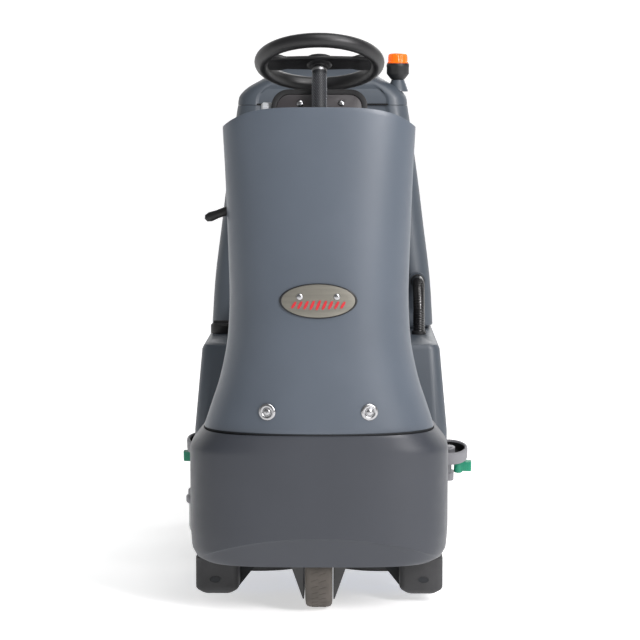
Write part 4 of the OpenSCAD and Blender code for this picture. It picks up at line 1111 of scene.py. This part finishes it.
for node, stitch, hidden in (("seat_cushion", seat_stitch, under_seat),
                             ("backrest_cushion", back_stitch, behind_back)):
    settle(stuffed(node, stitch, hidden), node)

# %% [markdown]
# ## Hoses
# A hose is a smooth tube along a path plus rings set on that path. The path frame is carried
# along without twist, so the rings follow every bend.

# %% Ribbed hoses
def path_points(points, per_span=10):
    """Smooth curve through a few points."""
    p = [Vector(q) * MM for q in points]
    out = []
    for i in range(len(p) - 1):
        a, b, c, d = p[max(i - 1, 0)], p[i], p[i + 1], p[min(i + 2, len(p) - 1)]
        for k in range(per_span):
            t = k / per_span
            out.append(0.5 * ((2 * b) + (c - a) * t + (2 * a - 5 * b + 4 * c - d) * t**2
                              + (3 * b - a - 3 * c + d) * t**3))
    out.append(p[-1])
    return out


def path_frames(path):
    side = None
    frames = []
    for i, at in enumerate(path):
        ahead = (path[min(i + 1, len(path) - 1)] - path[max(i - 1, 0)]).normalized()
        if side is None:
            side = ahead.orthogonal().normalized()
        side = (side - ahead * side.dot(ahead)).normalized()
        frames.append((at, side, ahead.cross(side), ahead))
    return frames


def tube(name, path, radius, material, sides=28):
    rings = [[at + radius * (math.cos(a) * u + math.sin(a) * v) for a in full_turn(sides)]
             for at, u, v, _ in path_frames(path)]
    return smooth(loft(name, rings, material), 50)


def evenly(path, pitch):
    """Points at an even spacing along a path."""
    out, carry = [path[0]], 0.0
    for a, b in zip(path, path[1:]):
        length = (b - a).length
        while carry + pitch <= length:
            carry += pitch
            out.append(a + (b - a) * (carry / length))
        carry -= length
    return out


def rib_ring(radius, thick):
    rings = []
    for a in full_turn(32) + [2 * math.pi]:
        reach = [(radius + thick * math.cos(b), 1.3 * thick * math.sin(b)) for b in full_turn(6)]
        rings.append([(r * math.cos(a), r * math.sin(a), h) for r, h in reach])
    return smooth(outward(loft("rib_ring", rings, "hose_black", closed_ends=False), merge=1e-6), 60)


def ribbed_hose(name, points, radius, pitch, start=0, end=0):
    path = path_points(points)
    core = tube(f"{name}_core", path, radius - 0.0016, "hose_black")
    marks = evenly(path, pitch)
    marks = marks[start:len(marks) - end]
    places = [(at, Matrix((u, v, ahead)).transposed().to_euler(), 1.0)
              for at, u, v, ahead in path_frames(marks)]
    ribs = scattered(f"{name}_ribs", rib_ring(radius - 0.0018, 0.0018), places, "hose_black")
    return joined(name, [core, smooth(ribs, 60)])


def cuff(name, length, at, direction):
    profile = [(15.6, 0), (18, 0), (18, length - 1), (16.5, length), (15.6, length), (15.6, 0.1)]
    return boss(name, profile, at, direction, "black_plastic")


vacuum_path = [(246, 96, 480), (246, 96, 540), (246, 96, 600), (246, 97, 636), (246, 113, 673),
               (246, 137, 688), (246, 165, 690), (246, 200, 690), (246, 232, 690)]
vacuum_cuffs = [cuff("vacuum_cuff_a", 12, (0.246, 0.2037, 0.690), (0, 1, 0)),
                cuff("vacuum_cuff_b", 9, (0.246, 0.096, 0.5643), UP)]
vacuum_hose = ribbed_hose("vacuum_hose_ribbed", vacuum_path, 0.0155, 0.0062)
settle(joined("vacuum_hose_assembly", [vacuum_hose] + vacuum_cuffs), "vacuum_hose")
SWING, RAISE = math.radians(-5), math.radians(14)
SWING_Y = 450
ARM_PIN = Vector((0, 300, 178))
PARK_TURN = Matrix.Rotation(RAISE, 3, "X") @ Matrix.Rotation(SWING, 3, "Z")


def parked(x, y, z):
    """A point drawn on the lowered, straight squeegee in millimetres, once swung and raised."""
    pivot = Vector((0, SWING_Y, 0))
    swung = pivot + Matrix.Rotation(SWING, 3, "Z") @ (Vector((x, y, z)) - pivot)
    return (ARM_PIN + Matrix.Rotation(RAISE, 3, "X") @ (swung - ARM_PIN)) * MM


spigot = parked(0, 508, 128.3) / MM
along = Vector((0, -math.sin(RAISE), math.cos(RAISE)))
suction_path = [spigot, spigot + 20 * along, spigot + 42 * along + Vector((-4, 6, 4)), (-12, 530, 254),
                (-30, 572, 300), (-50, 590, 350), (-84, 600, 410), (-118, 604, 470), (-138, 602, 540),
                (-148, 594, 596), (-150, 578, 636), (-150, 552, 654), (-150, 520, 654)]
suction = ribbed_hose("suction_hose_ribbed", suction_path, 0.0196, 0.0078, 3, 4)
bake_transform(suction)
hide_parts("suction_hose")

# %% [markdown]
# ## Wheels
# The tyres are lathed. Shallow tread blocks are one chevron, copied round by Geometry Nodes.

# %% Tyres and treads
ACROSS = Matrix.Rotation(math.radians(90), 3, "Y")


def tread_bar(width, lean, deep=0.0014):
    """A slanted low bar; X runs across the tyre and Z points outward."""
    rings = []
    for lift, half in ((-deep, 0.0022), (deep * 0.55, 0.0019)):
        rings.append([(0.001, -half, lift), (width, lean - half, lift), (width, lean + half, lift),
                      (0.001, half, lift)])
    return loft("tread_bar", rings, "tyre_rubber")


def tread(name, centre, radius, width, count):
    """Two mirrored rows of slanted bars, staggered into chevrons."""
    parts = []
    for side, word in ((-1, "right"), (1, "left")):
        places = []
        for i in range(count):
            a = 2 * math.pi * (i + 0.25 * side) / count
            out = Vector((0, math.cos(a), math.sin(a)))
            ahead = Vector((0, math.sin(a), -math.cos(a)))
            turn = Matrix((Vector((side, 0, 0)), ahead * side, out)).transposed()
            places.append((Vector(centre) + out * radius, turn.to_euler(), 1.0))
        parts.append(scattered(f"{name}_{word}", tread_bar(width, 0.006), places, "tyre_rubber"))
    return parts


front_low, front_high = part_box("front_tyre")
FRONT_AT = (0, (front_low[1] + front_high[1]) / 2, 0.115)
half_profile = [(72, 27), (74, 29.5), (100, 30.6), (107, 29.6), (111.5, 26.5), (113.4, 21.5), (113.9, 14)]
front_profile = [(r, -h) for r, h in half_profile] + half_profile[::-1] + [(71.5, 0), (72, -27)]
front_body = turned("front_tyre_body", front_profile, "tyre_rubber", FRONT_AT, ACROSS, 96, 40)
front_treads = tread("front_tread", FRONT_AT, 0.1137, 0.016, 40)
settle(joined("front_tyre_assembly", [front_body] + front_treads), "front_tyre")
dress("front_hub", 1.5, "bright_steel")
dress("wheel_fork", 1.2, "frame_black")
DISC_R = 0.0795
for node in ("rear_wheel_left", "rear_wheel_right"):
    low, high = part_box(node)
    centre = [(a + b) / 2 for a, b in zip(low, high)]
    wheel = softened(node, 1.6, "tyre_rubber")
    wheel.data.materials.append(FINISHES["squeegee_grey"])
    for polygon in wheel.data.polygons:
        if math.hypot(polygon.center.y - centre[1], polygon.center.z - centre[2]) < DISC_R:
            polygon.material_index = 1
    treads = tread(f"{node}_tread", centre, 0.1247, 0.020, 44)
    settle(joined(f"{node}_assembly", [wheel] + treads), node)
dress("rear_axle", 1.0, "bright_steel")

# %% [markdown]
# ## Frame and front guards
# The welded frame keeps its CAD shape. The two guards at its front are drawn again as rounded
# rubbery mouldings with an oval dimple and a sloped web behind.

# %% Frame and guards
def without(obj, inside):
    """Removes the faces whose corners all pass a test."""
    with editing(obj) as work:
        gone = [f for f in work.faces if all(inside(v.co) for v in f.verts)]
        bmesh.ops.delete(work, geom=gone, context="FACES")
        bmesh.ops.delete(work, geom=[v for v in work.verts if not v.link_faces], context="VERTS")
    return obj


def guard(side):
    """Rounded block: the rings shrink towards the floor and the underside is bowed."""
    half_w, front, back, low, high, corner = 0.0495, -0.490, -0.385, 0.020, 0.105, 0.014
    rings = []
    for k in range(15):
        t = k / 14
        z = low + (high - low) * t
        pull = 0.013 * max(0.0, 1 - (z - low) / corner) ** 2
        across, near_y, far_y = half_w - pull - corner, front + pull + corner, back - pull - corner
        plan = quarter(across, far_y, corner, 0, z) + quarter(-across, far_y, corner, 90, z)
        plan += quarter(-across, near_y, corner, 180, z) + quarter(across, near_y, corner, 270, z)
        rings.append([(side * (0.284 - half_w) + x, y, z + 0.006 * (x / half_w) ** 2 * (1 - t) ** 3)
                      for x, y, z in plan])
    return smooth(loft(f"guard_{'left' if side > 0 else 'right'}", rings, "deck_charcoal"), 45)


DIMPLE_X, DIMPLE_Y, DIMPLE_Z = 0.239, -0.4902, 0.056


def guard_dimple(side):
    """An oval lip round a thin oval of painted shade, which stands for the shadow in the dimple's hollow."""
    x, wide, tall = side * DIMPLE_X, 0.0145, 0.0078
    rings = [[(x + wide * r * math.cos(a), DIMPLE_Y - out, DIMPLE_Z + tall * r * math.sin(a))
              for a in full_turn(40)]
             for r, out in ((1.0, 0.0006), (0.9, 0.0009), (0.78, -0.0004), (0.70, -0.001))]
    lip = loft(f"guard_dimple_rim_{side}", rings, "deck_charcoal", closed_ends=False)
    cup = boss(f"guard_dimple_{side}", [(1, 0), (11.5, 0), (11.5, 0.35), (1, 0.35)],
               (side * DIMPLE_X, DIMPLE_Y, DIMPLE_Z), (0, -1, 0), "seam_shadow")
    for v in cup.data.vertices:
        v.co.z = DIMPLE_Z + (v.co.z - DIMPLE_Z) * 0.55
    return [lip, cup]


def web(side):
    """The sloped web between the guard and the frame; its dark finish is painted shade for the shadow behind
    the guard.
    """
    outline = [(0.188, 0.022), (0.235, 0.022), (0.235, 0.104), (0.126, 0.104), (0.128, 0.098)]
    rings = [[(side * x, y, z) for x, z in outline] for y in (-0.388, -0.400)]
    return loft(f"guard_web_{side}", rings, "seam_shadow")


def in_guard(co):
    return co.y < -0.3840 and co.z < 0.1055 and abs(co.x) > 0.120


frame_pieces = [without(softened("chassis_frame", 1.5, "frame_black"), in_guard)]
for side in (-1, 1):
    frame_pieces += [guard(side), web(side)] + guard_dimple(side)
settle(joined("chassis_assembly", frame_pieces), "chassis_frame")

# %% [markdown]
# ## Platform and pedals
# The mat and the pedals carry raised grips: round studs on the mat, cross ribs on the pedals.

# %% Mat studs and pedal ribs
def round_stud(r=0.0045, h=0.0016):
    profile = [(r, -0.0003), (r, h * 0.5), (r * 0.8, h), (0.0003, h)]
    return smooth(lathe("round_stud", profile, "black_plastic", steps=12), 40)


MAT_Z = 0.222
MAT_ROWS = [-0.374 + row * 0.014 for row in range(15)]
PEDALS = [("drive_pedal", -0.115, 0.084), ("brake_pedal", 0.115, 0.070)]


def clear_of_pedals(x, y):
    return not any(abs(x - px) < w / 2 + 0.016 and y < -0.290 for _, px, w in PEDALS)


mat_places = [((x * 0.016 + 0.008 * (row % 2), y, MAT_Z), (0, 0, 0), 1.0)
              for row, y in enumerate(MAT_ROWS) for x in range(-17, 17) if clear_of_pedals(x * 0.016, y)]
mat_studs = scattered("mat_studs", round_stud(), mat_places, "black_plastic")
platform = joined("platform_assembly", [softened("foot_platform", 1.5, "frame_black"), mat_studs])
settle(platform, "foot_platform")


def pedal_rib(width):
    reach = width / 2 / MM - 9
    return brick("pedal_rib", (-reach, -1.6, -0.6), (reach, 1.6, 1.6), "black_plastic", 0.7)


PEDAL_TURN = Matrix.Rotation(math.radians(-26), 3, "X")
for node, px, width in PEDALS:
    base = Vector((px, -0.345, 0.236))
    places = [(base + PEDAL_TURN @ Vector((0, -0.074 + 0.009 * i, 0.012)), PEDAL_TURN.to_euler(), 1.0)
              for i in range(9)]
    ribs = scattered(f"{node}_ribs", pedal_rib(width), places, "black_plastic")
    settle(joined(f"{node}_assembly", [softened(node, 1.5, "black_plastic"), ribs]), node)

# %% [markdown]
# ## Scrub deck
# Each brush is a disc with rings of bristle tufts. A tuft is one tapered bundle, and a fixed
# seed leans every copy a little differently.

# %% Deck and brushes
draw = random.Random(11)
BRISTLE = 0.0335
dress("deck_housing", 3.0, "deck_charcoal", 3)
dress("brush_motors", 1.5, "battery_case")
dress("deck_actuator", 1.0, "bright_steel")


def bristle_tuft():
    rings = [[(r * math.cos(a), r * math.sin(a), -h) for a in full_turn(6)]
             for r, h in ((0.0024, 0), (0.0028, BRISTLE * 0.55), (0.0036, BRISTLE))]
    return smooth(loft("bristle_tuft", rings, "bristle_blue"), 50)


disc_profile = [(10.2, 0), (128, 0), (129.5, 2), (129.5, 12), (128, 14), (26, 14), (25, 28), (10.2, 28),
                (10.2, 0.1)]
for node in ("brush_left", "brush_right"):
    low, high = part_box(node)
    cx, cy = (low[0] + high[0]) / 2, (low[1] + high[1]) / 2
    back_z = low[2] + BRISTLE
    places = []
    for ring_r in (0.070, 0.081, 0.092, 0.103, 0.114, 0.1225):
        count = int(2 * math.pi * ring_r / 0.0098)
        for i in range(count):
            a = 2 * math.pi * (i + draw.random() * 0.3) / count
            turn = (draw.uniform(-0.03, 0.03), draw.uniform(-0.03, 0.03), draw.uniform(0, 3))
            places.append(((cx + ring_r * math.cos(a), cy + ring_r * math.sin(a), back_z), turn, 0.985))
    tufts = scattered(f"{node}_tufts", bristle_tuft(), places, "bristle_blue")
    disc = boss(f"{node}_disc", disc_profile, (cx, cy, back_z - 0.0005), UP, "battery_case", 96)
    settle(joined(f"{node}_assembly", [tufts, disc]), node)

# %% [markdown]
# ## Squeegee
# The whole squeegee was drawn lowered and straight, then swung and parked. The same two turns
# place its new parts: cup rollers with a dark inside, ribbed green latches and wing knobs.

# %% Squeegee, rollers and latches
dress("lift_arm", 1.2, "frame_black")


def knob(name, at):
    """A low hand knob with six lobes."""
    rings = []
    for r, h in ((4, 0), (13, 0.5), (15, 3), (15, 12), (13, 15), (5, 16.5), (0.5, 17)):
        lobe = 0.07 if 1 <= h <= 15 else 0
        ring = []
        for a in full_turn(60):
            wave = r * (1 + lobe * math.cos(6 * a))
            ring.append(at + PARK_TURN @ (Vector((wave * math.cos(a), wave * math.sin(a), h)) * MM))
        rings.append(ring)
    return smooth(loft(name, rings, "black_plastic"), 40)


knobs = [knob(f"blade_knob_{i}", parked(x, 580, 84)) for i, x in enumerate((-190, 190))]
squeegee = joined("squeegee_assembly", [softened("squeegee_body", 1.6, "squeegee_grey", 3)] + knobs)
settle(squeegee, "squeegee_body")
dress("squeegee_blades", 0.4, "blade_gum")


def cup_roller(side):
    """A ring, a floor and a hub, with a dark lining."""
    at = parked(side * 336, 548, 124)
    shell = [(9.1, 0), (46, 0), (50, 2), (51.6, 6), (52, 12), (52, 30), (51, 34.5), (48.5, 36), (45, 35),
             (44, 32), (43.6, 10), (42, 8.2), (18, 8.2), (17.8, 33), (16, 34), (9.1, 34), (9.1, 0.1)]
    lining = [(18.2, 8.6), (43.2, 8.6), (43.4, 11), (43.5, 31), (43.0, 31), (42.6, 11), (41, 9.4),
              (18.2, 9.4), (18.2, 8.7)]
    ring = turned(f"cup_ring_{side}", shell, "squeegee_grey", at, PARK_TURN, 72)
    dark = turned(f"cup_lining_{side}", lining, "black_plastic", at, PARK_TURN, 72)
    return joined(f"cup_roller_{'left' if side > 0 else 'right'}", [ring, dark])


def latch_rib():
    return brick("latch_rib", (-1.0, -9.6, 7), (1.0, 9.6, 30), "latch_green", 0.6)


for node, side in (("roller_left", 1), ("roller_right", -1)):
    settle(cup_roller(side), node)
for node, side in (("latch_left", 1), ("latch_right", -1)):
    places = [(parked(side * (363 + x), 552, 84.3), PARK_TURN.to_euler(), 1.0) for x in (18, 23, 28)]
    ribs = scattered(f"{node}_ribs", latch_rib(), places, "latch_green")
    settle(joined(f"{node}_assembly", [softened(node, 2.0, "latch_green", 3), ribs]), node)

# %% [markdown]
# ## Filter
# A ribbed grey head screws onto a milky bowl, low on the driver's right.

# %% Solution filter
FILTER_AT = Vector((-0.306, -0.010, 0))
head = [(1, 150.2), (30, 150.2), (32.5, 153), (33, 158), (33, 166), (31.5, 169), (28, 171), (28, 183),
        (26, 185.7), (1, 185.7)]
bowl = [(1, 70.3), (10, 70.5), (18, 74), (23.5, 81), (25.8, 91), (26, 100), (26, 150), (1, 150)]
filter_head = turned("filter_head", head, "squeegee_grey", FILTER_AT)
filter_bowl = turned("filter_bowl", bowl, "milky_bowl", FILTER_AT)


def head_rib():
    return brick("head_rib", (31.6, -1.2, 154), (33.0, 1.2, 166), "squeegee_grey", 0.5)


rib_places = [(FILTER_AT, (0, 0, a), 1.0) for a in full_turn(24)]
filter_ribs = scattered("filter_ribs", head_rib(), rib_places, "squeegee_grey")
filter_pieces = [filter_head, filter_bowl, filter_ribs]
settle(joined("filter_assembly", filter_pieces), "solution_filter")

# %% [markdown]
# ## The rest, and the end
# Every CAD node that no new piece stands for takes its finish straight from the record's slot.

# %% Finishes for the remaining nodes
for node, obj in frame["nodes"].items():
    obj.data.materials.clear()
    obj.data.materials.append(FINISHES[SLOT_OF[node]])
print("finishes given to", len(frame["nodes"]), "CAD nodes")
